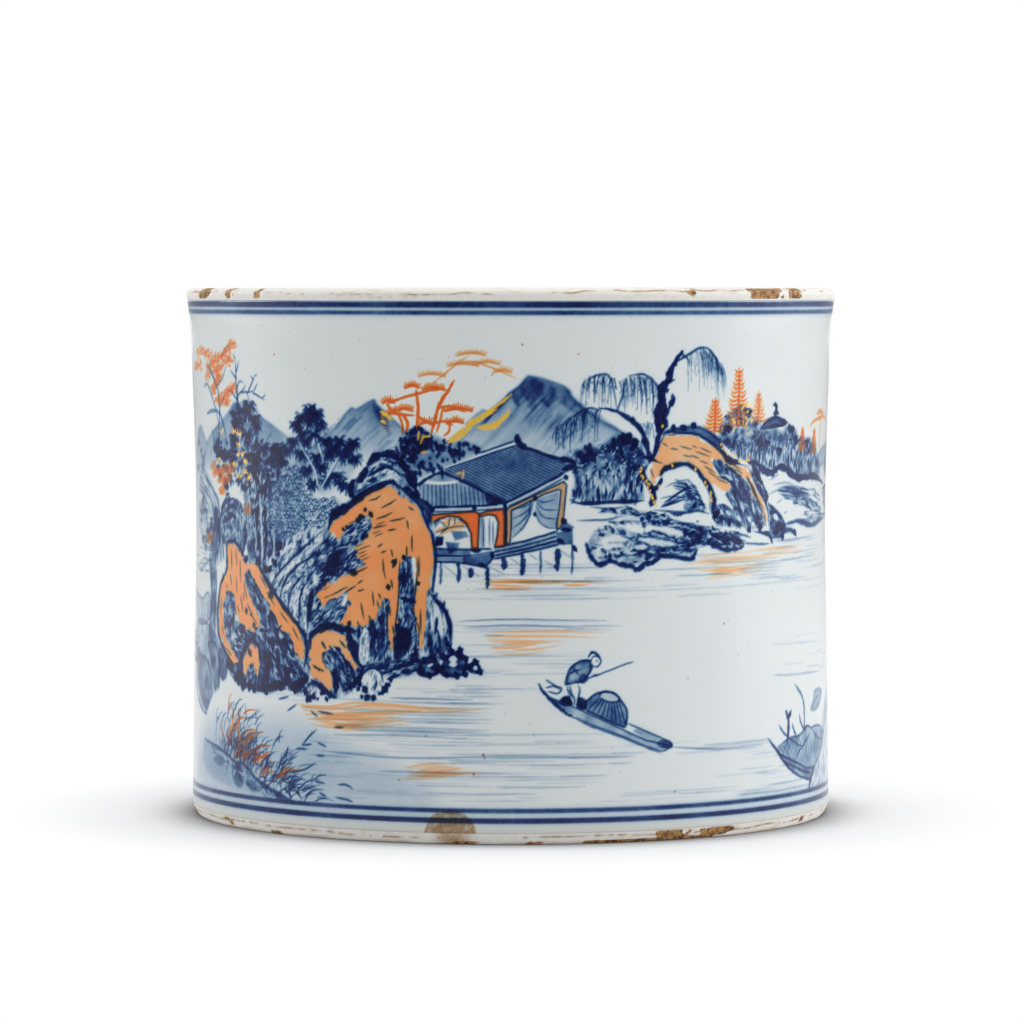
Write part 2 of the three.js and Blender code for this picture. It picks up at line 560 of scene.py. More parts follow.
def hill(ridge, foot, depth, rim, seed=1, streaks=0, lean=(-5, -6)):
    # a far hill: a wash that dries darker along its ridge and fades towards its foot
    line = curved(ridge)
    top = pairs(ridge)[:, 1].max()
    outline = np.vstack([line, (line[-1, 0], foot), (line[0, 0], foot)])
    reserve(outline, sharp=True)

    def shade(v):
        return ((v - foot) / (top - foot) * 1.15).clip(0, 1) ** 0.75

    tone(outline, depth, sharp=True, cloud=0.3, size=6, shade=shade)
    ink(ridge, 0.65, rim, ends=(0.35, 0.35), soft=0.4)
    ink(pairs(ridge) - (0, 0.9), 1.9, rim * 0.3, soft=1.4)
    draw = np.random.default_rng(seed)
    for _ in range(streaks):
        u, v = line[draw.integers(len(line))]
        drop = draw.uniform(0.15, 0.95)
        u, v = u + lean[0] * drop, v + lean[1] * drop
        long = draw.uniform(0.5, 1.2)
        du, dv = lean[0] * long, lean[1] * long
        ink([(u, v), (u + du * 0.5, v + dv * 0.42), (u + du, v + dv)], draw.uniform(0.35, 1.0),
            draw.uniform(0.08, 0.26), soft=0.5)


def farHills():
    hill([-126,104, -122,109, -117,110.5, -112,107, -106,103], 96, 0.3, 0.12)
    hill([-113,104, -108,108, -96,113.5, -90,117.5, -86,116, -78.5,113.5, -74,112.5, -58,104], 97, 0.44,
        0.16, 3, 26, (-4, -5))
    hill([-57,107.5, -51,110.5, -45,116.5, -43,116.5, -38,119, -36.5,117.5, -31,113, -28,110, -24,107.5],
        102, 0.48, 0.32, 4, 30, (-6, -5))
    for k in range(9):                          # the far side of its peak lies in deep shade
        ink([(-38 + 0.35 * k, 118.3 - 0.3 * k), (-36.4 + 0.4 * k, 114 - 0.5 * k)], 1.3, 0.2, soft=1)
    hill([-12,113, -7.5,116.5, -6,116], 109, 0.3, 0.2)
    hill([-22,105.5, -17,108, -4,117.5, 2,122.5, 4,125, 6,125.5, 14,123, 16,120.5, 18,118.5, 24,114, 28,112,
        32,109.5, 37,107.5], 100, 0.44, 0.34, 5, 90, (-6, -6.5))
    cap = [0.5,120.5, 4,124.5, 6,125, 15.5,122, 16,120, 21,116, 19,115, 15.5,116.5, 12,119, 10,117,
        7.5,119.5, 5.5,117, 3.5,120, 2,117.5]
    tone(cap, 0.5, soft=1.0, cloud=0.6, size=1.6)
    for u, v, w in ((3.5, 118.5, 2), (7, 117, 2.4), (11, 118, 2), (15, 116.5, 2.2), (18.5, 115, 1.8),
            (1.5, 116, 1.6)):
        ink([(u, v), (u - 5, v - 5.5), (u - 10.5, v - 11)], w, 0.13, ends=(0.2, 0.6), soft=1.4)
    ink([14.5,122.5, 18,118.5, 24,114, 32,109.5], 1.6, 0.3, soft=0.9)


def gilding():
    # thin touches of gold, laid last of all
    for line, width in (([-17.4,108.2, -4.5,117.2, 0.2,120.8], 1.0), ([-17,107.6, -13.5,109.6, -10.5,112],
            1.3), ([-9,111.9, -5,112.2, -2.4,113.6], 1.5), ([-4.4,112.8, -1.4,114.8, -0.4,116.8], 1.3),
            ([-12,111.4, -6,115.4, -3.6,116.8], 0.9), ([-11.5,113, -9.8,114.3], 0.9), ([-35.8,116,
            -34.3,115.2, -32.3,113.8], 1.0), ([-35.8,113.5, -34.2,113], 0.7)):
        stroke("gilt", line, width, 0.95, soft=0.35)
    draw = np.random.default_rng(11)
    dabs("gilt", draw.uniform((-35.8, 110.4), (-32.2, 115), (50, 2)), 0.5, 0.3, 0.24, seed=12)
    for u, v in pairs([-88,109, -91,109.6, -88.6,106, -86.4,103.6, -99,109.4, -89,103.4, -85,101.6,
            -101,101.4, -85.4,98.6, -88.6,97.4, -83.6,97, -91,100.4]):
        dabs("gilt", (u, v) + draw.normal(0, 0.7, (7, 2)) * (1, 0.5), 1.6, 0.36, 0.9, turn=0.7, seed=int(-u),
            spread=0.8)
    dabs("gilt", [-25,109.6, -24,108.6, -22.8,109.4, -23.5,105.2, -14,99.6, -12.8,99.3], 2.2, 0.5, 0.85,
        turn=0.4, seed=13, spread=0.6)
    for line in ([36,100.6, 36.6,98.6, 38.4,96.4], [38.2,95.4, 39.4,93, 40.6,90.8], [39.6,92.8, 41.6,92],
            [41.6,96, 43.4,98.2], [45.4,101.4, 49,101.8], [53.4,100.2, 54.6,98.6], [56.6,96.4, 58.2,93.4,
            58.8,91.4], [62,106.4, 64,104.6, 67,103.2], [67.6,103, 70.4,102, 72.6,102.2, 73,104],
            [72,117, 71.4,113, 72,109.4], [66,113.2, 69,112.2, 73.6,113.2], [69.4,116.4, 71.4,118,
            73.4,116.2], [66.4,110.6, 68.4,112], [73.6,112.4, 74.6,110.6], [42.4,111.8, 45,111]):
        # broken flecks along the line, as gold wears off
        flecks = curved(line)[::2]
        dabs("gilt", flecks + draw.normal(0, 0.18, flecks.shape), 1.1, 0.5, 0.95, turn=1.2, seed=14,
            spread=0.9, soft=0.25)


def comb(left, right, v, long, depth=0.95):
    # a flat pine tuft: a bowed stroke with a close row of needles that lean outwards
    draw = np.random.default_rng(int(abs(left) * 10))
    middle, half = (left + right) / 2, (right - left) / 2
    stroke("ironRed", [(left, v), (middle, v + 0.7), (right, v - 0.1)], 0.6, depth, ends=(0.4, 0.4))
    for u in np.arange(left, right, 0.5):
        share = (u - middle) / half
        foot = v + 0.6 * (1 - share * share)
        tip = long * draw.uniform(0.7, 1.1) * (1 - 0.35 * share * share)
        stroke("ironRed", [(u, foot - 0.2), (u + 0.7 * share * tip, foot + tip)], 0.42,
            depth * draw.uniform(0.75, 1), ends=(0, 0.6), soft=0.22)


def redPines():
    # iron-red pines on the ridge: bare bent trunks and flat tufts of needles
    for line, width in (([-25.5,122, -25,117, -25.5,111.5], 0.9), ([-34,118, -30,119.5, -20,122,
            -16.5,121.5], 0.75), ([-29.5,115.5, -28,113, -28.5,110.5], 0.9), ([-30.5,115, -29.5,112.5,
            -29.5,110], 0.7), ([-17.5,121, -19.5,117, -21.5,110], 1.0), ([-18,117.5, -19,113.5, -20,110.5],
            0.6), ([-19.5,117, -16,117.5, -12,116], 0.7), ([-25.5,115, -22,113, -20.5,112], 0.7),
            ([-34,118, -31,115.5, -26,115], 0.7), ([-20.5,113, -18,113.5, -15.5,112.5], 0.7),
            ([-18.5,119, -16.5,122, -15,124.5], 0.75), ([-16.5,113.5, -16.5,111, -18,109.5], 0.6)):
        stroke("ironRed", line, width * 0.8, 0.9, ends=(0.1, 0.2))
    tufts = ((-28.5, -24.5, 122.4), (-31.4, -26.4, 116.2), (-35, -31.5, 118.3), (-17.5, -10, 116.3),
        (-23.5, -17.5, 121.9), (-17, -12.5, 113), (-24.6, -20.5, 112.6), (-34.6, -30, 115))
    for left, right, v in tufts:
        comb(left, right, v, 1.5)
    stroke("ironRed", [-21,123.5, -13.5,129.5, -11,131], 0.5, 0.3)
    stroke("ironRed", [-13.5,129.5, -8,129, 1.5,125], 0.55, 0.3)
    for left, right, v in ((-24.6, -17.4, 125.6), (-16.6, -8.6, 128.4), (-14.2, -6.4, 131.2),
            (-9.6, -2.6, 128.8), (-4.4, 0.4, 126.6)):
        comb(left, right, v, 1.2, 0.3)


def conifer(u, low, high, reach, tiers, seed, depth=0.8):
    # a straight trunk with side strokes that curve up at their tips
    draw = np.random.default_rng(seed)
    stroke("ironRed", [(u, low), (u + 0.1, (low + high) / 2), (u, high)], 0.8, depth + 0.2, ends=(0.1, 0.5))
    for k in range(tiers):
        share = k / (tiers - 1)
        v = low + 1.2 + (high - low - 2) * share
        arm = reach * (1 - 0.72 * share) * draw.uniform(0.8, 1.12)
        for side in (-1, 1):
            for fall in (0, -0.5):
                stroke("ironRed", [(u, v), (u + side * arm * 0.5, v - 0.35 + fall * 0.6),
                    (u + side * arm * (1 + 0.2 * fall), v + draw.uniform(0.1, 0.7) + fall)], 0.32,
                    depth * draw.uniform(0.7, 1.25), ends=(0.1, 0.5))


def redConifers():
    conifer(59.5, 109.5, 119.4, 4.4, 9, 2)
    conifer(68, 111, 127.4, 5.0, 14, 3)
    conifer(76.3, 112, 120.9, 3.8, 8, 4, 0.5)
    conifer(100.6, 103.4, 110.6, 2.8, 9, 5)
    conifer(110.3, 102.6, 110.2, 3, 9, 6)
    for line in ([106.5,110.5, 110,112, 120,113, 126,112.5], [112.5,114, 116,114.5, 121,114]):
        stroke("ironRed", line, 1.1, 0.5, soft=0.6)
    stroke("ironRed", [117,112.5, 117,108, 116.5,104], 1.2, 0.22, soft=0.6)


def strands(places, drop, lean, depth, seed):
    # willow: thin hanging strands, each with a slight curve and a few leaf ticks of its own
    draw = np.random.default_rng(seed)
    for u, v in np.repeat(pairs(places), 2, axis=0):
        long = drop * draw.uniform(0.35, 1.3)
        u, side = u + draw.normal(0, 0.4), lean * draw.uniform(0.4, 1.6) + draw.normal(0, 0.5)
        ink([(u - side * 0.3, v + draw.uniform(-0.6, 0.5)), (u + side * 0.3, v - long * 0.15),
            (u + side * 0.8, v - long * 0.55), (u + side, v - long)], 0.323, depth * draw.uniform(0.45, 1),
            ends=(0.05, 0.5), soft=0.22)
        for share in draw.uniform(0.1, 0.95, 1):
            tick = draw.choice((-0.5, 0.5))
            ink([(u + side * share, v - long * share), (u + side * share + tick, v - long * share - 0.9)],
                0.34, depth * (0.9 - 0.4 * share))


def willows():
    boughs = (([40.5,100, 42,110, 41.5,114, 42,118, 42,122, 44,124.5, 45,128, 48,132], 2.8, 0.95),
        ([43,106, 43.5,110, 43,114, 45.5,119], 1.7, 0.9), ([46,129, 54,133, 58,131.5, 61,127.5, 62.5,123.5],
        0.7, 0.75), ([47.5,131.5, 50,130, 50.5,128], 0.8, 0.7), ([42,121, 39,124.5, 36,126, 32,125.5], 0.7,
        0.7), ([40,97, 39,102, 36,111, 29,116, 24,117], 1.6, 0.9), ([20.5,124.5, 24,126, 27,125, 29,116.5],
        0.6, 0.7), ([29,116, 30.5,121, 31.5,125], 0.6, 0.65), ([24,116.5, 21,117, 17,115, 14,112], 0.6, 0.7),
        ([43,123.5, 46,124.5], 0.9, 0.8), ([44.5,117.5, 46,119.5], 1.6, 0.9))
    for line, width, depth in boughs:
        ink(line, width, depth, ends=(0.1, 0.5))
    touches([41,112, 43,116, 41.5,119.5, 44.5,126.5, 46,129, 42.5,108.5, 42.5,104, 40.5,115.5, 43.5,121.5,
        45.5,119.5, 38.5,103.5, 37,108, 35.5,111.5, 33.5,113.5, 39,99.5], 2.4, 1.5, 0.92, turn=1.4, seed=31,
        spread=0.7)
    arch = curved([46.5,130, 54,133, 58,131.5, 61,128], 7)
    strands(arch[3:], 9.5, 0.8, 0.42, seed=32)
    strands([(u + 0.6, v - 0.8) for u, v in arch[6:]], 7, 1.2, 0.34, seed=33)
    strands([(u, 125.6 - 0.12 * (u - 35) ** 2 / 2) for u in np.arange(30, 40.5, 0.62)], 8.5, 0.5, 0.7,
        seed=34)
    strands([(u, 126 - 0.1 * (u - 24) ** 2) for u in np.arange(19.5, 28, 0.62)], 7.5, -0.5, 0.7, seed=35)
    strands([(u, 116.8 - 0.035 * (24 - u) ** 2) for u in np.arange(12.5, 24.5, 0.6)], 8.5, -0.8, 0.68,
        seed=36)
    strands([(u, 113) for u in np.arange(36, 40, 0.8)], 6, 0.4, 0.5, seed=37)


def fan(u, v, size, turn, leaves, width, depth):
    # a whorl of leaves: long narrow touches that spread from one point and droop at their tips
    draw = np.random.default_rng(1 + int(abs(u) * 37 + v * 11))
    for k in range(leaves):
        a = turn + 1.9 * (2 * k / (leaves - 1) - 1) + draw.normal(0, 0.1)
        r = size * draw.uniform(0.8, 1.15)
        x, y = r * np.cos(a), r * np.sin(a)
        ink([(u, v), (u + 0.55 * x, v + 0.6 * y + 0.12 * size), (u + x, v + y - 0.1 * size)],
            width * draw.uniform(0.8, 1.15), depth * draw.uniform(0.72, 1.0), ends=(0.25, 0.5), soft=0.25)


def mass(outline, body, count, size, dark, seed, width=0.95):
    # a dense tree: a broken wash, crowded dark touches, bare flecks between them, drooping sprays on top
    tone(outline, body * 0.7, soft=1.2, cloud=0.8, size=2)
    places = scatter(outline, count, seed)
    touches(places[::2], size, width, dark * 0.8, seed=seed, spread=1.2)
    lifts(places[::4] + (0.7, -0.5), size * 0.8, width * 0.55, 0.85, turn=1.4, seed=seed + 2, spread=0.5)
    for u, v in places[1::4]:
        sprig(u, v, size * 1.45, width * 0.7, dark, seed)


def sprig(u, v, size, width, depth, seed):
    # narrow touches that spread from one point like the fingers of a hand
    draw = np.random.default_rng(seed + int(abs(u) * 31 + v * 17))
    for a in np.linspace(-2.9, -0.2, 6) + draw.normal(0, 0.12, 6):
        r = size * draw.uniform(0.6, 1.05)
        ink([(u, v), (u + 0.6 * r * np.cos(a), v + 0.5 * r * np.sin(a)), (u + r * np.cos(a),
            v + r * np.sin(a) - 0.2)], width * draw.uniform(0.8, 1.2), depth * draw.uniform(0.75, 1),
            ends=(0.1, 0.4))


def blossoms():
    clusters = [-117,131, -113,131.5, -109,131, -106,130.5, -122,127, -119,127.5, -115,127.5, -90.5,133.5,
        -94,131.5, -97,130, -101,129.5, -93,129, -98,127, -101,126, -107,127, -108,124.5, -101,123, -103,121,
        -100,118, -99,124.5, -103,128, -93,120.5, -96,119, -95,117.5, -91,121.5, -106,99.5, -101,98.5,
        -97,99, -93.5,99.5, -100,96.5, -99,93, -84.5,88.5, -104,98, -98,95.5, -95,97, -111,79, -108,80]
    draw = np.random.default_rng(41)
    for u, v in pairs(clusters):
        pale = 0.5 if u < -104 else 0.8
        stroke("ironRed", [(u - 2, v - 0.6), (u, v + 0.2), (u + 2, v + 0.5)], 1.8, pale * 0.3, soft=1.2)
        for _ in range(18):
            a, r = draw.uniform(0, 6.28), draw.uniform(0.1, 2.0)
            x, y = u + 1.45 * r * np.cos(a), v + 0.75 * r * np.sin(a)
            reach = draw.uniform(0.35, 0.8)
            stroke("ironRed", [(x - reach, y - 0.2), (x + reach, y + draw.uniform(0, 0.5))], 0.45,
                pale * draw.uniform(0.6, 1.1))
    for line, width, depth in (([-108,128, -101,122, -99.5,116, -101,108], 0.9, 0.5), ([-112,121.5, -108,122,
            -102,115, -100,109], 0.9, 0.42), ([-110,114, -105,115, -99,114, -95,106], 1.0, 0.5),
            ([-101,122, -97,124, -94,128], 0.6, 0.45), ([-104,125, -106,129], 0.6, 0.4),
            ([-97,130, -94,132.5, -91,134], 0.5, 0.4), ([-99.5,116, -96,119.5], 0.6, 0.5),
            ([-106,110, -103,104, -104,100], 0.8, 0.4)):
        ink(line, width, depth, ends=(0.1, 0.4))


def blueTree():
    for line, width in (([-87,112, -88.5,119, -89,129.5], 0.75), ([-89,116.5, -88,119.5, -86,120.5,
            -83,120.5, -80,121], 0.6), ([-88.5,124, -92,126.5], 0.45), ([-88.5,126, -87,129], 0.45),
            ([-88.5,121.5, -87,123.5, -85,123], 0.45), ([-86,120.5, -84,122.5], 0.4),
            ([-83,120.5, -79.5,125], 0.5), ([-80,121, -78.5,123], 0.4), ([-81,120.5, -78,119.5, -75.5,118.5],
            0.5), ([-88.5,118, -91.5,120.5, -94,121], 0.5), ([-79.5,125, -78.5,125.5], 0.35),
            ([-80,124, -81.5,125], 0.35), ([-89,129.5, -90,131], 0.4), ([-76.5,119, -75,120], 0.35),
            ([-83.5,120.5, -82.5,118.5], 0.35)):
        ink(line, width * 1.15, 0.66, ends=(0.1, 0.5))


def leftTrees():
    # the crowded trees at the left, from the far tops down to the trunks
    mass([-91,116, -86,118, -81,118, -78,113, -81,98, -86,94, -91,97, -93,104, -92,111], 0.4, 170, 1.6, 0.74,
        seed=51)
    mass([-81,106, -76,107, -74,100, -76,93, -80,94], 0.5, 60, 1.6, 0.78, seed=52)
    mass([-73,106, -70,106, -68,103, -67,98, -70,94, -73,97], 0.5, 60, 1.6, 0.78, seed=53)
    mass([-104,107, -98,108, -93,106, -93,101, -104,104], 0.3, 40, 1.5, 0.6, seed=54)
    for u, v in pairs([-82.5,116.8, -86.5,115.4, -79.8,113.2, -89.8,111.6, -76.8,105.4, -70.4,104.6, -84,109,
            -80.6,103]):
        fan(u, v, 3.4, -1.4, 10, 0.75, 0.85)
    mass([-80,96, -66,96, -64,90, -70,74, -78,72, -82,80, -82,90], 0.3, 130, 1.3, 0.72, seed=55, width=0.6)
    for u, v in scatter([-84,94, -66,95, -62,90, -62,82, -66,76, -74,74, -82,82], 60, 56):
        sprig(u, v, 1.9, 0.5, 0.62, 56)
    for u, v in scatter([-104,106, -96,108, -92,100, -94,92, -100,96], 26, 57):
        sprig(u, v, 2.0, 0.55, 0.72, 57)
    trunks()


def slit(line, half):
    # a narrow outline along a line, a half width to either side
    return strip(pairs(line) - (half, 0), pairs(line) + (half, 0))


def trunks():
    # slender stems, some left pale between two dark lines
    for line, width, depth in (([-81,104, -79.5,95, -80,86, -78.5,76], 1.3, 0.85),
            ([-77.5,100, -76,84, -76.5,75], 1.0, 0.82), ([-70.5,101, -71,92, -70,84, -71,74], 1.1, 0.8),
            ([-84,100, -83,92, -82.5,86], 1.0, 0.8), ([-67.5,98, -67.5,90, -66.5,84], 0.8, 0.7),
            ([-74,96, -74.5,88, -73.5,78], 0.8, 0.7)):
        ink(line, width, depth, ends=(0.1, 0.1))
    for line in ([-78.5,92, -78,84, -77.5,76], [-72.5,92, -72.5,84, -72.5,77], [-69,94, -69,86]):
        reserve(slit(line, 0.35), soft=0.3, keep=0.3)


def centralTree():
    crowns = [-58.5,116.5, -61.5,114.5, -63,112, -55.5,115, -55,112.5, -59,113, -57,109.5, -60,107.5,
        -64.5,107.5, -62,104.5, -53,108, -48.5,108, -44,107.5, -43.5,103.5, -47.5,104, -52,104, -56.5,103.5,
        -49,98.5, -48,96.5, -52.5,97.5, -57.5,96.5, -59.5,100, -66.5,105, -46,106, -50.5,106, -54.5,101,
        -61,109.5, -57.5,114]
    tone([-66,108, -62,110, -59,117, -55,114, -53,109, -46,108, -43,104, -47,96, -56,94, -62,100], 0.2,
        soft=2, cloud=0.8, size=2.2)
    for u, v in pairs(crowns):
        fan(u, v, 2.5, -1.5, 8, 0.85, 0.8)
        fan(u + 1.3 * np.sin(9 * u), v + 1.2 * np.cos(7 * v), 2.0, -1.5, 5, 0.8, 0.7)
    for line in ([-61.5,106, -57,100, -56,96], [-50,102, -52,99, -54.5,95.5], [-55.5,107, -54.5,104]):
        ink(pairs(line) + (0.5, 0), 0.5, 0.5)
        reserve(slit(line, 0.32), soft=0.3, keep=0.25)
    for u, v in pairs([-65,97.8, -67,95.8, -63.6,96, -65.6,93.8, -68.4,94, -62.8,94]):
        fan(u, v, 2.0, -1.2, 9, 0.55, 0.6)
    ink([-65.5,94, -61,87, -60.5,84], 1.0, 0.65)


def netting(outline, depth=0.85, seed=1, cell=(1.35, 0.95)):
    # small round leaves drawn in outline, row over row like fish scales
    tone(outline, 0.14, soft=1.5, cloud=0.8, size=2)
    ring = closed(outline)
    low, high = ring.min(0), ring.max(0)
    draw = np.random.default_rng(seed)
    rows = np.arange(low[1], high[1], cell[1])
    for j, v in enumerate(rows):
        for u in np.arange(low[0] + (j % 2) * cell[0] / 2, high[0], cell[0]):
            x, y = u + draw.normal(0, 0.3), v + draw.normal(0, 0.25)
            if inside(ring, np.array([[x]]), np.array([[y]]))[0, 0] < 0:
                continue
            w = cell[0] * draw.uniform(0.35, 0.62)
            ink([(x - w, y - 0.3), (x - w * 0.5, y + 0.35), (x + w * 0.5, y + 0.38), (x + w, y - 0.25)],
                0.34, depth * draw.uniform(0.6, 1.15), steps=2)


def inks(many, width, depth, **more):
    for line in many:
        ink(line, width, depth, **more)


def grove(outline, body, count, top, seed):
    # a wood seen from the side: round dark touches above, pale gaps between dark stems below
    tone(outline, body, soft=1.0, cloud=0.7, size=1.8)
    places = scatter(outline, count, seed)
    low = places[places[:, 1] < top]
    touches(low[::2], 2.2, 0.7, 0.5, turn=1.5, seed=seed, spread=0.3)
    lifts(low[1::2] + (0.5, -0.4), 2.6, 0.42, 0.9, turn=1.5, seed=seed + 1, spread=0.15)
    touches(low[::5], 3.0, 0.6, 0.9, turn=1.55, seed=seed + 2, spread=0.15)
    high = places[places[:, 1] > top - 2]
    touches(high[::2], 1.5, 1.0, 0.55, turn=0.6, seed=seed + 3, spread=1)
    lifts(high[1::3], 1.2, 0.42, 0.85, turn=0.9, seed=seed + 4, spread=1)
    # leaf clusters: three or four round touches about one point
    for u, v in high[::9]:
        turn = np.random.default_rng(int(u * 50) + seed).uniform(0, 6.3)
        touches([(u + 0.75 * np.cos(turn + k), v + 0.6 * np.sin(turn + k)) for k in (0, 1.6, 3.2, 4.8)], 0.5,
            1.15, 0.95, turn=turn, seed=seed, spread=1)


def discs(outline, count, size, depth, seed):
    # a bush of round leaves: dark dots over a pale wash, with light left between them
    tone(outline, 0.34, soft=1.2, cloud=0.7, size=2)
    draw = np.random.default_rng(seed)
    for u, v in scatter(outline, count, seed):
        wide = size * draw.uniform(0.7, 1.15)
        ink([(u - 0.3 * wide, v - 0.1), (u + 0.3 * wide, v + 0.1)], wide, depth * draw.uniform(0.8, 1),
            ends=(0.1, 0.1), soft=0.35)


def ridgeBushes():
    discs([-33,102, -30,109, -25,112, -17,108, -12,108, -8,106, -18,101, -29,97, -30,101], 130, 1.35, 0.95,
        61)
    discs([-30,105, -27,111, -23,111, -21,107, -25,105], 40, 1.5, 0.97, 68)
    for u, v in pairs([-26,109, -23,107.4, -19,107, -14.6,105.6, -27,103.6]):
        sprig(u, v, 2.0, 0.8, 0.95, 61)


def ridgeFoliage():
    # woods and bushes along the middle distance
    ridgeBushes()
    nearWood = [15,105, 23,106.5, 31,109.5, 35,107, 38,103, 38.5,96, 35,91.5, 21,91.5, 16.5,92.5, 17.5,98]
    grove(nearWood, 0.5, 300, 101, 62)
    discs([18,105, 21,107, 24,106, 23,103, 19,103], 22, 1.5, 0.97, 63)
    discs([26,108, 29,110, 33,110, 35,107, 31,105, 27,106], 40, 1.6, 0.97, 64)
    ink([16,92.5, 20,91.5, 37,92], 1.1, 0.85)
    farWood = [61,106, 62,112, 66,116, 70,117, 74,114, 77,113.5, 79,110, 84,110.5, 88,110, 91.5,111.5,
        96.5,109.5, 99,107.5, 109,107, 113,104, 118,97, 98,97, 87,100.5, 82,99.5, 68,103]
    grove(farWood, 0.45, 520, 107, 65)
    for u, v in pairs([93.4,110.6, 72,116, 64.5,111.6, 76.6,107.6, 69,113.4, 96,108, 86.8,105, 104,106.6,
            80.6,107]):
        sprig(u, v, 2.2, 0.8, 0.95, 66)
    ink([72,102, 76,101, 80,99, 84,98.5, 88,100, 96,97, 101,96.5, 112,96.5, 124,94], 1.9, 0.88,
        ends=(0.05, 0.3))
    # the roof of a far tower, with its hooked finial
    reserve([77.5,110.5, 80,112.5, 84.5,114, 91,112, 88,111, 84,111], sharp=True)
    tone([77.5,110.5, 80,112.5, 84.5,114, 91,112, 88,111, 84,111], 0.62, rim=0.3, sharp=True)
    inks(([77,110, 80,112.5, 84.5,114], [84.5,114, 88,113, 91,112], [78,110.5, 84,111, 90,111.5]), 0.8, 0.85)
    inks(([84.5,114, 84.5,117, 83,117], [83.5,114.5, 84.5,115, 86,114.5]), 1.2, 0.95)
    tone([113,100, 118,103.5, 132,105.5, 138,104, 130,101, 120,99], 0.3, rim=0.15, soft=1)


# how strong the washes of the house are: long roof, short roof, red on the near posts
house = {"roof": 0.5, "shortRoof": 0.4, "posts": 0.345}


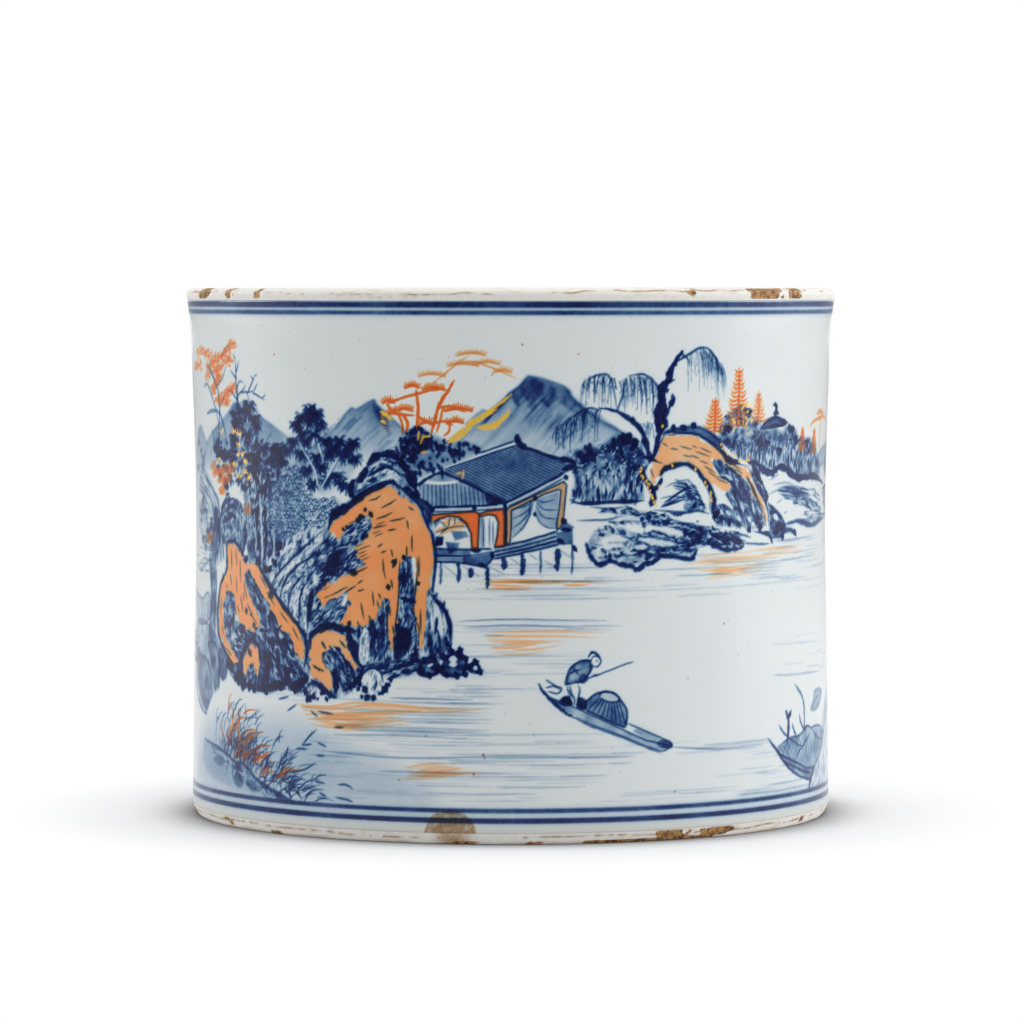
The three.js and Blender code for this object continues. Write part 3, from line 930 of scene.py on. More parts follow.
def pavilion():
    leftRoof = [-28,95.2, -25.5,96.2, -22,98.6, -18.5,100, -10,96.4, -1.6,91.4, -10,90.6, -21.2,90.3,
        -24.4,92.6, -27,94]
    mainRoof = [-18.6,100, -4,105.6, 2,107.5, 12,104, 16,103.3, 18,102.2, 17.4,101, 5,94.7, 0,92.5,
        -1.6,91.5, -10,96.4, -14,98.2]
    body = [-23,90, -1.2,90.8, 14.6,99, 15.6,96, 15,88, 17.2,85.2, 17,80.4, 13,80, -4.6,76, -7.4,74.8,
        -20.6,76, -21.4,84]
    for outline in (leftRoof, mainRoof, body):
        reserve(outline, sharp=True, soft=0.3)
    tone(mainRoof, house["roof"], sharp=True, cloud=0.18, soft=0.3, size=3)
    tone(leftRoof, house["shortRoof"], sharp=True, cloud=0.18, soft=0.3, size=3)
    # tile courses: from the ridge to the eave on the long slope, straight down on the short one
    for k in range(22):
        s = k / 21
        top = (-18.2 + 20.6 * s, 100.2 + 7.0 * s)
        foot = (-1.8 + 18.4 * s, 92.0 + 9.0 * s)
        ink([top, foot], 0.36, 0.68, ends=(0.02, 0.02), soft=0.3)
    for k in range(21):
        u = -27 + 1.13 * k
        top = 97.3 - 0.035 * (u + 18.5) ** 2
        if u > -12:
            top = min(97.4 - 0.06 * (u + 19) ** 2 / 3, 96.4 - 0.56 * (u + 10))
        ink([(u, top), (u + 0.04 * (u + 22), 90.8 + max(0, -22 - u) * 0.62)], 0.34, 0.66, ends=(0.02, 0.02),
            soft=0.3)
    tone([-7,94.6, -3,93.4, -1.4,92.2, -2,91.4, -6,91.4], 0.75, soft=0.8)
    band = [-23.4,97.7, -20,97.4, -16.4,97.5, -13.6,98.1, -13.4,97.4, -16.4,96.7, -20,96.5, -23.6,96.9]
    reserve(band, soft=0.3)
    reserve([-17.4,101.3, -8.4,104.7, 1.4,108, 1.4,107.5, -17,100.7], sharp=True, soft=0.3)
    inks(([-18.4,100.4, -4,105.4, 2,107.2], [-8.6,105, -4,106.5, 1.2,108.4]), 0.5, 0.82, ends=(0.1, 0.1))
    inks(([-18.6,99.8, -10,96.2, -2,91.5], [3,106.9, 12,103.9, 16,103.1], [-27.8,95.2, -25.4,96.2, -22,98.6,
        -18.6,99.9]), 0.8, 0.9, ends=(0.1, 0.05))
    inks(([-1.6,91.6, 10,97.3, 14.4,99.8], [-21.3,90.4, -8,90.9, -3,91.6], [-28,95, -26.8,93.8, -24.4,92.4,
        -21.2,90.2]), 0.75, 0.92, ends=(0.05, 0.05))
    inks(([2,107.6, 1.6,109.2, 2,110.1], [2.4,108.2, 3,107, 4,106.6], [1.4,107.8, 2.6,108.8]), 1.4, 0.98,
        soft=0.4)
    inks(([13,103.6, 16,103, 17.6,102], [14,100.6, 16,101.2, 17.4,101.8], [-19,100, -18.2,99.6],
        [-4.6,92.4, -2.4,92.2]), 1.5, 0.97, soft=0.5)
    ink([-18.6,101.6, -18.5,99.4, -18.3,97.9], 0.7, 0.95)
    # the pale edges of both eaves, each between two lines
    for a, b in (([-21.4,90, -10,90.4, -1.7,91.2], [-21,89.2, -10,89.6, -1.7,90.3]),
            ([-0.8,91.6, 6,94.8, 14.2,99], [-0.8,90.8, 6,93.9, 14.2,98.2])):
        reserve(strip(a, b), sharp=True, soft=0.25)
        ink(b, 0.42, 0.8, ends=(0.05, 0.05))
        tone(strip(a, b), 0.14, sharp=True)
    inks(([-9.8,91, -9.7,89.5], [-1.5,92, -1.5,89.6], [14.6,99.2, 15.2,97.9], [-21.4,90.6, -21,89]), 1.2,
        0.95)
    # beams and posts: deep orange on the near side, pale on the far one
    deep = ([-22.8,88.3, -16,88.9, -9.8,89.4, -8.5,88.8, -8.6,85, -8.8,79.4, -10.4,79.4, -10.7,83.4,
        -11.9,86.2, -14,87.9, -17,88.1, -19.8,87.2, -21,86.2, -22.8,86.8], [-8.3,88.8, -6,89.6, -2,90,
        -1.6,88, -1.7,80, -4.2,80, -3.6,83, -3.3,86.4, -4.1,88.3, -6,88.6, -8,88])
    for outline in deep:
        wash("orange", outline, 1.0, sharp=True, cloud=0.08, soft=0.3)
        wash("ironRed", outline, house["posts"], sharp=True, cloud=0.2, soft=0.3, size=2)
        ink(ringed(outline), 0.55, 0.85, steps=1, ends=(0, 0))
    doorFrame = [-1.1,89.6, -0.6,90.5, 14.3,97.4, 15.1,96.4, 14.3,88, 13.6,85.2, 12.5,84.4, 12.5,86.4,
        13.1,90, 13.5,95, 12.9,95.3, 9,94, 0.2,89.7, 0.2,85, -0.1,81.3, -0.8,80.3, -1.2,81.4]
    wash("orange", doorFrame, 0.62, sharp=True, cloud=0.15, soft=0.3, size=3)
    tone(doorFrame, 0.14, sharp=True, soft=0.3)
    ink(ringed(doorFrame), 0.46, 0.82, steps=1, ends=(0, 0))
    ink([-1.4,91, -1.4,86, -1.4,80.2], 0.8, 0.95, ends=(0.05, 0.05))
    # inside: a rail, chequered panels, a hanging and the gathered curtain
    for line in ([-21.6,83.3, -18,85, -14.4,85.8, -11.6,85.9], [-19.6,82.9, -15.4,84.8, -12,85.2],
            [-18.8,87.4, -16.4,87.2, -14.6,87.4], [-14.8,86.4, -12.2,86.4], [-18.6,86.4, -16,86.2]):
        stroke("orange", line, 0.95, 0.6)
    inks(([-21.2,83.2, -18,84.6, -14.6,85.4, -11.4,85.4], [-16.4,87.9, -16.9,85.3], [-14.9,87.8, -15.2,85.8],
        [-19.6,87, -17.2,85.2], [-19.2,83.4, -16.8,85]), 0.36, 0.75)
    tone([-22.2,85, -20.6,87, -19,87.6, -19.6,86, -20.8,84.6], 0.55, sharp=True, soft=0.5)
    tone([-14.2,87.8, -12,86.4, -11.2,84, -12.2,86, -14.4,87.2], 0.6, sharp=True, soft=0.4)
    for outline, depth in (([-16.2,84.2, -12,84.1, -11.3,82.6, -15,81.6], 0.66), ([-17.7,81.2, -13.8,81,
            -14.4,78.8, -16.6,78], 0.6), ([-20.9,82.7, -18.2,82.6, -18.4,80.4, -20.6,79.8], 0.95),
            ([-21,79.2, -10.6,79, -10.8,77.4, -21,77.4], 0.5), ([-13,77.6, -5,78.9, -4.5,77, -7.2,74.9,
            -13,75.5], 0.68), ([12.4,83.8, 16.8,84.4, 16.9,80.6, 12.6,80.4], 0.62), ([14,87.3, 17.2,85.2,
            16.6,84.3, 13.8,84.6], 0.75), ([-20.8,77.2, -13,77, -13,75.8, -20.6,76], 0.42),
            ([-8.2,87.4, -7.4,88, -7,80, -8.1,79.6], 0.42), ([-4.4,79.6, 12.6,83.9, 12.6,82.9, -4.6,78.6],
            0.34), ([-4.6,78.2, 12.6,82.2, 13,80.6, 4,78.6, -4.6,76.8], 0.4), ([0.3,90, 6.4,93, 5.5,88.5,
            3.5,84.6, 0.5,82.3], 0.3), ([7,92.8, 13,94.8, 12.6,85, 9.6,85.1, 7.4,87, 6.5,89.6], 0.32)):
        tone(outline, depth, sharp=True, soft=0.4, cloud=0.3, size=2)
    inks(([6.5,92.4, 4,90.9, 0.5,90], [6.3,92, 4,89.2, 0.5,87.5], [6.1,91.2, 3.8,87.6, 0.5,84.9],
        [6,90.4, 3.8,85.8, 0.6,82.4], [5.4,92.2, 5,89.6, 5.2,88], [7,92.4, 9,91.9, 11.5,92.5],
        [6.9,91.9, 9,90, 12.6,89.8], [6.8,91, 8.8,88, 12.6,87.3], [6.5,89.6, 7.8,86.6, 10,85.1, 12.6,84.9],
        [-7.2,87.4, -7.3,80], [-5.7,87.6, -5.7,80], [-4.8,86.6, -4.7,80.4]), 0.4, 0.66)
    inks(([6.7,93.6, 6.6,92.2], [6.4,89.2, 6.6,88]), 0.9, 0.95)
    inks(([-21.4,79.4, -12,79.2, -5,79.4], [-21.4,77.5, -13,77.4], [-20.8,75.9, -13,75.6, -7.4,74.8,
        -4.8,76.8], [-4.6,79.8, 4,81.6, 12.6,84.1], [-4.8,78.5, 4,80.4, 12.6,82.7],
        [-4.6,76.7, 4,78.5, 13,80.5], [-4.4,77.6, 4,79.4, 12.8,81.6]), 0.6, 0.85, ends=(0.05, 0.05))
    inks(([-10.8,79.2, -8,79], [-5,78.8, -4.8,76.6], [-9,75.2, -7,74.9], [12.6,82, 14.6,80.6],
        [13.8,87.4, 15,86.2], [13.4,84.6, 16.4,84.4], [16.6,80.4, 18,78.6]), 1.3, 0.95)
    # stilts in the water
    for u, top, foot, width in ((-19, 75.8, 69.8, 0.7), (-14.1, 75.6, 70.4, 0.95), (-10.8, 74, 72, 1.25),
            (-6.3, 73.4, 68.8, 0.95), (-1.8, 76.8, 73.8, 1.3), (3.1, 78, 72.4, 1.2), (8, 79, 72.8, 0.65),
            (12.6, 79.4, 73.4, 1.3), (16.6, 79.6, 72.6, 0.65)):
        ink([(u, top), (u + 0.15, (top + foot) / 2), (u - 0.05, foot)], width, 0.85 if width > 0.8 else 0.68,
            ends=(0.05, 0.15))
    ink([-8,75, -6.2,74.2, -6.2,73], 0.9, 0.85)
    inks(([-18.6,75.2, -14.5,72.2], [-13,74.8, -8.3,72], [-7,75.2, -1.6,72.6], [0,76.9, 2.6,75.2],
        [5,78, 7.4,76.3], [9,76.4, 12,74.4], [13.4,79, 16.2,77], [-20.4,75.4, -19,73.8]), 0.3, 0.42)


def brokenStone(outline, turn, count, seed, body=0.3, length=2.6, width=0.5, spread=0.25, dark=0.8,
        clear=True):
    # the shaded side of a rock: a wash, pale flecks and dark touches that all run one way
    if clear:
        reserve(outline, soft=0.5)
    tone(outline, body + 0.16, soft=0.6, cloud=0.9, size=1.7)
    places = scatter(outline, round(count * 1.4), seed)
    touches(places, length * 0.9, width, dark * 0.76, turn=turn, seed=seed, spread=spread)
    lifts(places[1::4] - 0.3, length * 0.9, width * 0.75, 0.82, turn=turn, seed=seed + 2,
        spread=spread * 0.7, soft=0.25)
    touches(places[::3] + 0.4, length * 0.7, width * 0.9, dark * 1.2, turn=turn, seed=seed + 1,
        spread=spread * 1.3, soft=0.25)


def boulders(many, size, seed):
    # dark round blots in a row, as at the foot of a rock in water
    draw = np.random.default_rng(seed)
    for u, v in curved(many, 3):
        w = size * draw.uniform(0.5, 1.5)
        u, v, rise = u + draw.normal(0, 0.4), v + draw.normal(0, 0.6), draw.uniform(-0.7, 0.7)
        ink([(u - 0.3 * w, v - rise), (u + 0.3 * w, v + rise)], w, 0.97, soft=0.4)


def orangeFace(outline, depth=0.95):
    # a sunlit face: the blue is wiped off it first, both with a frayed edge
    ring = placed(outline)
    for zone, box, u, v in everywhere(ring.min(0) - 1, ring.max(0) + 1):
        clear = (inside(ring, u, v) + 1.3 * (mottle(u, v, 1.1, 4) - 0.5)) / 0.3
        lay(zone, "bare", box, (clear + 0.5).clip(0, 1))
    wash("orange", outline, depth, sharp=True, cloud=0.2, soft=0.4, size=5.4, ragged=1.3)


def dashes(many, width, depth):
    # short strokes that thin out at both ends
    for line in many:
        ink(line, width * (0.8 if width < 0.7 else 1), depth, ends=(0.3, 0.4),
            soft=0.2 + 0.1 * min(width, 2))


def rockFlank():
    # the blue side of the big rock: pale ledges between dark clefts, falling away to the left
    brokenStone([-84,80, -76,79, -70,80, -64,84, -56,84, -52,80, -56,68, -58,56, -60,40, -72,64, -78,72,
        -84,75], 1.1, 300, 71, 0.3, 2.0, 0.5, 0.6, 0.7)
    # behind it the stems stand in shade, with a blue wedge between them
    tone([-86,96, -80,100, -72,96, -66,90, -64,82, -70,76, -78,74, -85,78], 0.36, soft=1.2, cloud=0.8,
        size=2)
    tone([-73,78, -72.5,84, -70,83, -67,78, -70,72], 0.6, soft=0.7)
    touches(scatter([-86,96, -80,100, -72,96, -64,92, -63,84, -70,76, -78,74, -85,78], 70, 59), 3.2, 0.45,
        0.7, turn=1.5, seed=59, spread=0.15)
    lifts(scatter([-84,96, -72,96, -65,90, -65,82, -70,76, -80,76], 40, 60), 3.0, 0.45, 0.85, turn=1.5,
        seed=60, spread=0.15)
    trunks()
    # in front of the stems a bush of round leaves, light between them
    bush = [-75,88, -71,97, -62,98, -60,88, -66,81, -73,82]
    reserve(bush, soft=2.5, keep=0.3)
    netting(bush, 0.8, 64)
    lifts(scatter([-90,84, -88,96, -78,99, -74,94, -76,82], 60, 66), 2.2, 0.5, 0.8, turn=1.3, seed=66,
        spread=0.4)
    for line, width in (([-72,67.5, -68,72, -52.5,82.5], 2.3), ([-69,62, -67.5,67, -65.5,70.5], 1.5),
            ([-64.5,58, -64,66, -61.5,70.5], 1.7), ([-61,60, -60.5,67, -58,71.5], 1.2),
            ([-59,72.5, -55,76.5, -50.5,79], 1.5)):
        lift(line, width * 0.75, 0.85, ends=(0.3, 0.2), soft=0.6)
    lifts(scatter([-76,74, -70,79, -58,84, -52,82, -57,68, -60,56, -68,62], 200, 58), 2.8, 0.85, 0.88,
        turn=0.9, seed=58, spread=0.35)
    places = scatter([-72,68, -56,82, -51,81, -58,70, -62,58, -68,60], 110, 78)
    touches(places, 1.7, 0.42, 0.62, turn=0.9, seed=78, spread=0.4)
    dashes(([-74,66, -70.5,71.5, -54.5,83.5], [-70.5,62, -68.5,68.5, -63.5,73.5, -51.5,80],
        [-66.5,57, -66,66, -60.5,72], [-62.5,57, -62,66, -58.5,71], [-74.5,68, -73,64, -70.5,61],
        [-59.5,56, -59,64, -57.5,69]), 0.8, 0.8)
    boulders([-70,78.5, -71.5,76, -73.5,73.5], 1.8, 79)


def bigRock():
    face = [-52,84, -50,86.5, -45,89.5, -40,94, -33.5,96, -25,90.5, -23,85, -21.5,82.5, -21,80, -23,53,
        -24,51.5, -25,53, -25,57, -26.5,63, -26,66, -25.5,77.5, -26.5,77.5, -30.5,76, -31,60, -32.5,52,
        -33.5,54, -34,58, -33,65, -34,66.5, -35.5,65, -39,58.5, -41,57.5, -42.5,59, -44,58, -48.5,58.5,
        -48,60, -46.5,61.5, -45.5,64, -46.5,67, -50.5,65.5, -53,63.5, -54.5,63, -56.5,66, -53,69.5, -50,69.5,
        -49,71, -44,72.5, -41,75, -42.5,76, -44,79.5, -40,82.5, -39,85.5, -39.5,87.5, -41.5,87.5, -46,85,
        -49,81.5, -50.5,82, -51,83]
    whole = [-54,84, -50,89.5, -45,92.5, -45,96.5, -42,98, -38,103.5, -35,105, -32.5,105, -30,103, -27,99.5,
        -25,95.5, -23.5,90.5, -20.5,84, -21,60, -20,52, -24,46.5, -31,44.5, -38,45.5, -44,48, -44,56, -52,58,
        -57,57, -57.5,64, -54,78]
    reserve(whole, soft=0.5)
    brokenStone(whole, 1.3, 260, 70, 0.16, dark=0.72)
    # its white and blue sides first
    brokenStone([-60,70, -54,81, -49,81, -46,85, -41,87, -39,86, -40,83, -44,80, -42,75, -50,70, -56,69],
        0.72, 190, 72, 0.3, 3.0)
    brokenStone([-56,66, -50,66, -46,67, -45,64, -48,59, -55,57, -59,58, -58,64], 0.75, 90, 73)
    brokenStone([-34,66, -36,64, -39,59, -42,59, -44,54, -43,48, -38,46, -33,48, -33,56], 1.45, 130, 74, 0.4)
    brokenStone([-30,76, -26,77, -26,70, -26,62, -25,54, -26,49, -32,50, -32,60], 1.5, 120, 75, 0.5)
    brokenStone([-23,70, -17,62, -16,55, -18,50, -23,50, -23,58], 1.45, 70, 76, 0.42)
    brokenStone([-34,49, -25,50, -24,47, -30,45, -38,46, -40,48], 0.3, 50, 77, 0.4)
    for line in ([-51.5,83.5, -49.5,82], [-42.5,86.5, -40,86], [-26.5,77, -26,70.5], [-57,71.5, -57,69],
            [-46.5,66, -47.5,63.5], [-44.5,75, -42.5,74.5], [-19.5,65.5, -18,58], [-48.5,79, -46,79.5]):
        reserve(slit(line, 0.55), soft=0.6)
    orangeFace(face)
    wash("orange", [-44,70, -36,72, -33.5,66, -38,61, -44,62], 0.25, soft=4)
    # heavy contour, thick where the rock turns away
    ink([-52.5,84, -51,87, -45.5,90.5, -40,94.5, -33,97, -30.5,95.5], 2.0, 0.97, soft=0.5)
    ink([-52,86.5, -49.5,89, -46,90.5], 2.2, 0.98, soft=0.6)
    ink([-30.5,96, -25,91, -23.5,87.5, -20.5,78, -23,52], 0.95, 0.88, ends=(0.05, 0.2))
    tone([-28,94, -21.5,91, -22,86, -24,90], 0.82, soft=0.6)
    dashes(([-57.5,67.5, -58.5,64, -59,60], [-58.5,62, -59,58.5]), 1.7, 0.97)
    dashes(([-57,66, -55,68.5, -52,70.5], [-55,70, -52.5,72.5, -49.5,71.5], [-50.5,72.5, -50,76.5,
        -47.5,78.5]), 1.5, 0.88)
    tone([-54,72.5, -51.5,77.5, -49,76.5, -49,71.5], 0.8, soft=0.7)
    tone([-45.5,73, -44.5,73.5, -43,72.5, -44,71.5, -45.5,72], 0.98)
    dashes(([-47.5,73.5, -45.5,73], [-42,81.5, -40.5,82.5, -40,82.5], [-43.5,86, -42,87.5, -41,87.5],
        [-31.5,76.5, -32.5,74], [-33,75.5, -31.5,76], [-34,69.5, -33.5,68], [-29.5,77.5, -29,76],
        [-25.5,70.5, -25,69.5], [-39.5,89, -38.5,87.5], [-41,89, -40.5,90], [-46,59, -45,58.5],
        [-26,65, -28.5,65.5, -30.5,66]), 1.3, 0.97)
    tone([-30,58, -27.5,57.5, -27,54, -28.5,51, -30.5,50, -32,52, -31.5,56], 0.98, soft=0.7)
    tone([-39.5,59.5, -38,59.5, -36.5,55, -38.5,55.5], 0.9, soft=0.7)
    dashes(([-30.5,76, -31,64, -32.5,52.5], [-25.5,77, -25.5,72, -26.5,62.5, -25,58, -25,53],
        [-33.5,65, -34,60, -34,55], [-39,58.5, -40.5,57, -42.5,58.5]), 0.55, 0.85)
    # short dark dashes that give the orange face its grain
    dashes(([-37.5,87, -34.5,88, -32.5,89], [-33.5,86.5, -31,87, -29,87.5], [-38.5,84.5, -36.5,85,
        -34.5,85.5], [-34,84, -31.5,84.5], [-28.5,87, -28,84.5], [-27,83, -27,78.5], [-37,79.5, -35.5,80.5],
        [-36,78, -34.5,78.5], [-35.5,76.5, -35,72.5, -34.5,71], [-33,79, -32.5,77], [-33,71, -32.5,68.5],
        [-38.5,67.5, -38,63.5], [-36.5,67, -36,65.5], [-42,64.5, -41,60], [-37,65, -36.5,63],
        [-39.5,61, -39,60], [-43,59.5, -42.5,58], [-47,67, -43.5,69], [-51.5,66, -47.5,68, -46,68.5],
        [-43,69.5, -41.5,70.5], [-43.5,72.5, -40,74], [-39.5,92, -37.5,92.5, -36,93.5],
        [-36,90, -33,91.5, -31.5,92.5], [-28.5,80, -28.5,77], [-25,77, -25,72], [-24.5,63, -24.5,56.5],
        [-28,90.5, -26.5,89.5], [-43,67.5, -41,68], [-33.5,64, -33,61], [-32.5,58.5, -32,56]), 0.55, 0.82)
    dashes([[(u, v), (u + 2.6, v + 1.0)] for u, v in pairs([-43.4,78.4, -43,77.4, -42.6,76.6, -42,75.8,
        -43.8,79.4, -41.8,79, -37.8,82.4, -54.6,67.4, -54,65.2, -52.6,64.4, -46.8,84.6, -47.6,83.6, -46,85.6,
        -38.6,83, -37.4,85.4])], 0.42, 0.6)
    dashes(([-48,84.5, -47,83.5], [-47,85, -46,84.5]), 0.9, 0.92)


def waterBoulders():
    # a white-streaked rock at the foot of the big one, and a knot of black boulders in the water
    side = [-22.5,68, -18.5,64.5, -17,61.5, -16.5,56, -17.5,51, -21,48.5, -23.5,52, -23,60]
    brokenStone(side, 1.45, 60, 76, 0.3, 3.2)
    ink([-22,67.5, -17,61.5, -16,54], 1.2, 0.92, soft=0.5)
    for line, width in (([-20.5,64.5, -19.5,60, -18.5,56], 2.2), ([-21.5,62, -21,57], 1.0),
            ([-18,61.5, -17.5,57], 1.0)):
        lift(line, width, 0.92)
    dashes(([-22,56, -21.5,52, -20.5,49.5], [-19.5,57, -19,53], [-17.5,56, -17,52], [-20,61, -20,58]), 0.9,
        0.92)
    for outline in ([-25,45.5, -24.5,48.5, -22,50.5, -19.5,49, -19,46.5, -21.5,45], [-19,46, -18,49.5,
            -15.5,52, -12.5,51, -11.5,48, -13,45.5, -16,45], [-11.5,47, -10.5,49, -8.5,48.5, -8,46.5,
            -9.5,46]):
        tone(outline, 0.8, rim=0.3, soft=0.5, cloud=0.5, size=1.4)
    for u, v in pairs([-24.6,46.4, -23.4,49.4, -21,50.6, -19.4,47.4, -18.2,50.4, -16,52, -13.6,52.2, -12,50,
            -11,47.6, -9.4,49, -8.2,46.6, -14.6,45.4, -17.4,45.6, -22,45.4, -12.2,45.8]):
        ink([(u - 0.7, v - 0.3), (u + 0.7, v + 0.3)], 2.1, 0.98, soft=0.4)
    for line, width in (([-16.5,49.8, -14.5,49.8], 2.2), ([-16.5,48.3, -14.5,48.5], 1.6),
            ([-22.5,47.8, -21,48.4], 1), ([-10,47.3, -9,47.7], 1.2)):
        lift(line, width, 0.94)
    dashes(([-33,46.5, -29,48, -26,49], [-30,46, -27,46.5], [-34,44, -30,45.5], [-27.5,50.5, -25.5,51]), 1.3,
        0.93)


def rockCap():
    cap = [-45.5,92.5, -45.5,96.5, -42.5,97.5, -38.5,103, -35.5,104.5, -32.5,104.5, -26.5,99, -27,96,
        -29.5,96, -33,98, -41,95]
    reserve(cap)
    tone(cap, 0.42, soft=0.5, cloud=0.8, size=1.6)
    grain("cobalt", [-44,96, -35,103, -30,102, -27,98], [-43,94, -34,98, -30,98, -28,97], 46, 0.12, 0.5,
        0.85, 81, wander=0.2)
    for line, width in (([-43,95, -41,97, -38.5,98.5], 1.3), ([-38.5,101, -35.5,102.5, -33,102], 0.8),
            ([-38,98.5, -35.5,100, -32.5,99.5, -30,98], 1.2), ([-36,97.5, -33,98.5, -30.5,97.5], 0.8),
            ([-30.5,101.5, -29,99.5], 0.7)):
        lift(line, width, 0.92, ends=(0.3, 0.3))
    dashes([[(u, v), (u + 0.9, v + 0.9)] for u, v in pairs([-41.6,95.8, -40.4,97, -39,97.8, -36.6,99,
        -34.6,99.4, -32.4,99.2, -36.4,101.8, -34,102])], 0.35, 0.7)
    dashes(([-43.5,91.5, -45,94, -45,96.5, -43.5,97.5], [-43,97, -41,99, -40,101], [-40,101.5, -38,103.5,
        -35.5,104.5], [-36,104.5, -32.5,104.5, -30.5,103], [-30.5,103.5, -29,101, -27.5,99.5],
        [-27.5,100, -26.5,97.5, -26,95]), 2.0, 0.97)
    dashes(([-39.5,98.5, -34.5,101, -30.5,99.5], [-40,97, -37,98], [-28.5,98.5, -27,96]), 1.0, 0.92)
    dashes(([-27.5,94.5, -25.5,93], [-26,95.5, -25,92.5], [-29.5,95.5, -27,95]), 1.7, 0.97)


def smallRock():
    whole = [-59,53.5, -56,57, -51,58, -44,57, -42.5,51, -40.5,47, -43.5,41.5, -50,38, -57,43, -59,46]
    face = [-58,54, -56,55.5, -53,56.5, -47,55.5, -45,50.5, -42.5,46, -43.5,45.5, -49.5,52.5, -54.5,50.5,
        -54,48, -51.5,46, -50.5,43.5, -50.5,41.5, -51.5,40, -58.5,45, -58.5,50]
    brokenStone(whole, -0.95, 130, 84)
    brokenStone([-55,51, -50,53, -43,45, -44,42, -48,41, -52,48], -0.95, 85, 85, 0.35)
    orangeFace(face, 0.78)
    wash("orange", [-58,53, -56,54, -54,50, -53,44, -57,45], 0.5, soft=1.5)
    dashes(([-59,53.5, -57,56, -51.5,58, -48,57, -45.5,57.5, -43.5,56.5],), 2.0, 0.97)
    dashes(([-46,56.5, -43.5,50.5, -41,47],), 2.8, 0.93)
    dashes(([-41,47, -42.5,44, -45,41.5, -47,40.5], [-58,43, -51,39, -49.5,38.5], [-50.5,46, -49.5,43,
        -49.5,39.5]), 1.7, 0.95)
    dashes(([-54.5,53.5, -53,51.5], [-52,52.5, -50.5,51], [-48.5,54, -46.5,52], [-50.5,52.5, -46.5,49],
        [-47,48.5, -44,45.5], [-57.5,47, -55.5,46, -53.5,45.5], [-59,52.5, -59.5,48]), 0.7, 0.85)
    pebbles = ([-42,42, -41,44.5, -38.5,46.5, -36,45.5, -35,43, -36.5,40, -40,39.5], [-59.5,40, -57.5,42,
        -55.5,40.5, -56,38.5, -58.5,38], [-42.5,50, -41.5,57, -39.5,56.5, -39.5,50, -41,47.5])
    for k, outline in enumerate(pebbles):
        reserve(outline)
        touches(scatter(outline, 16, k), 2.2, 0.4, 0.5, turn=1.4, seed=k, spread=0.3)
    boulders([-42.5,43, -41.5,40.5, -38,39.5, -34.5,41, -33.5,43.5], 1.7, 86)
    boulders([-60,39.5, -57.5,38, -54.5,39, -51.5,38.5], 1.8, 87)
    dashes(([-42,43, -41,45.5, -38.5,47, -36,46, -35,43], [-37,43.5, -37.5,41],
        [-59.5,40.5, -58,42, -56,41]), 0.8, 0.8)


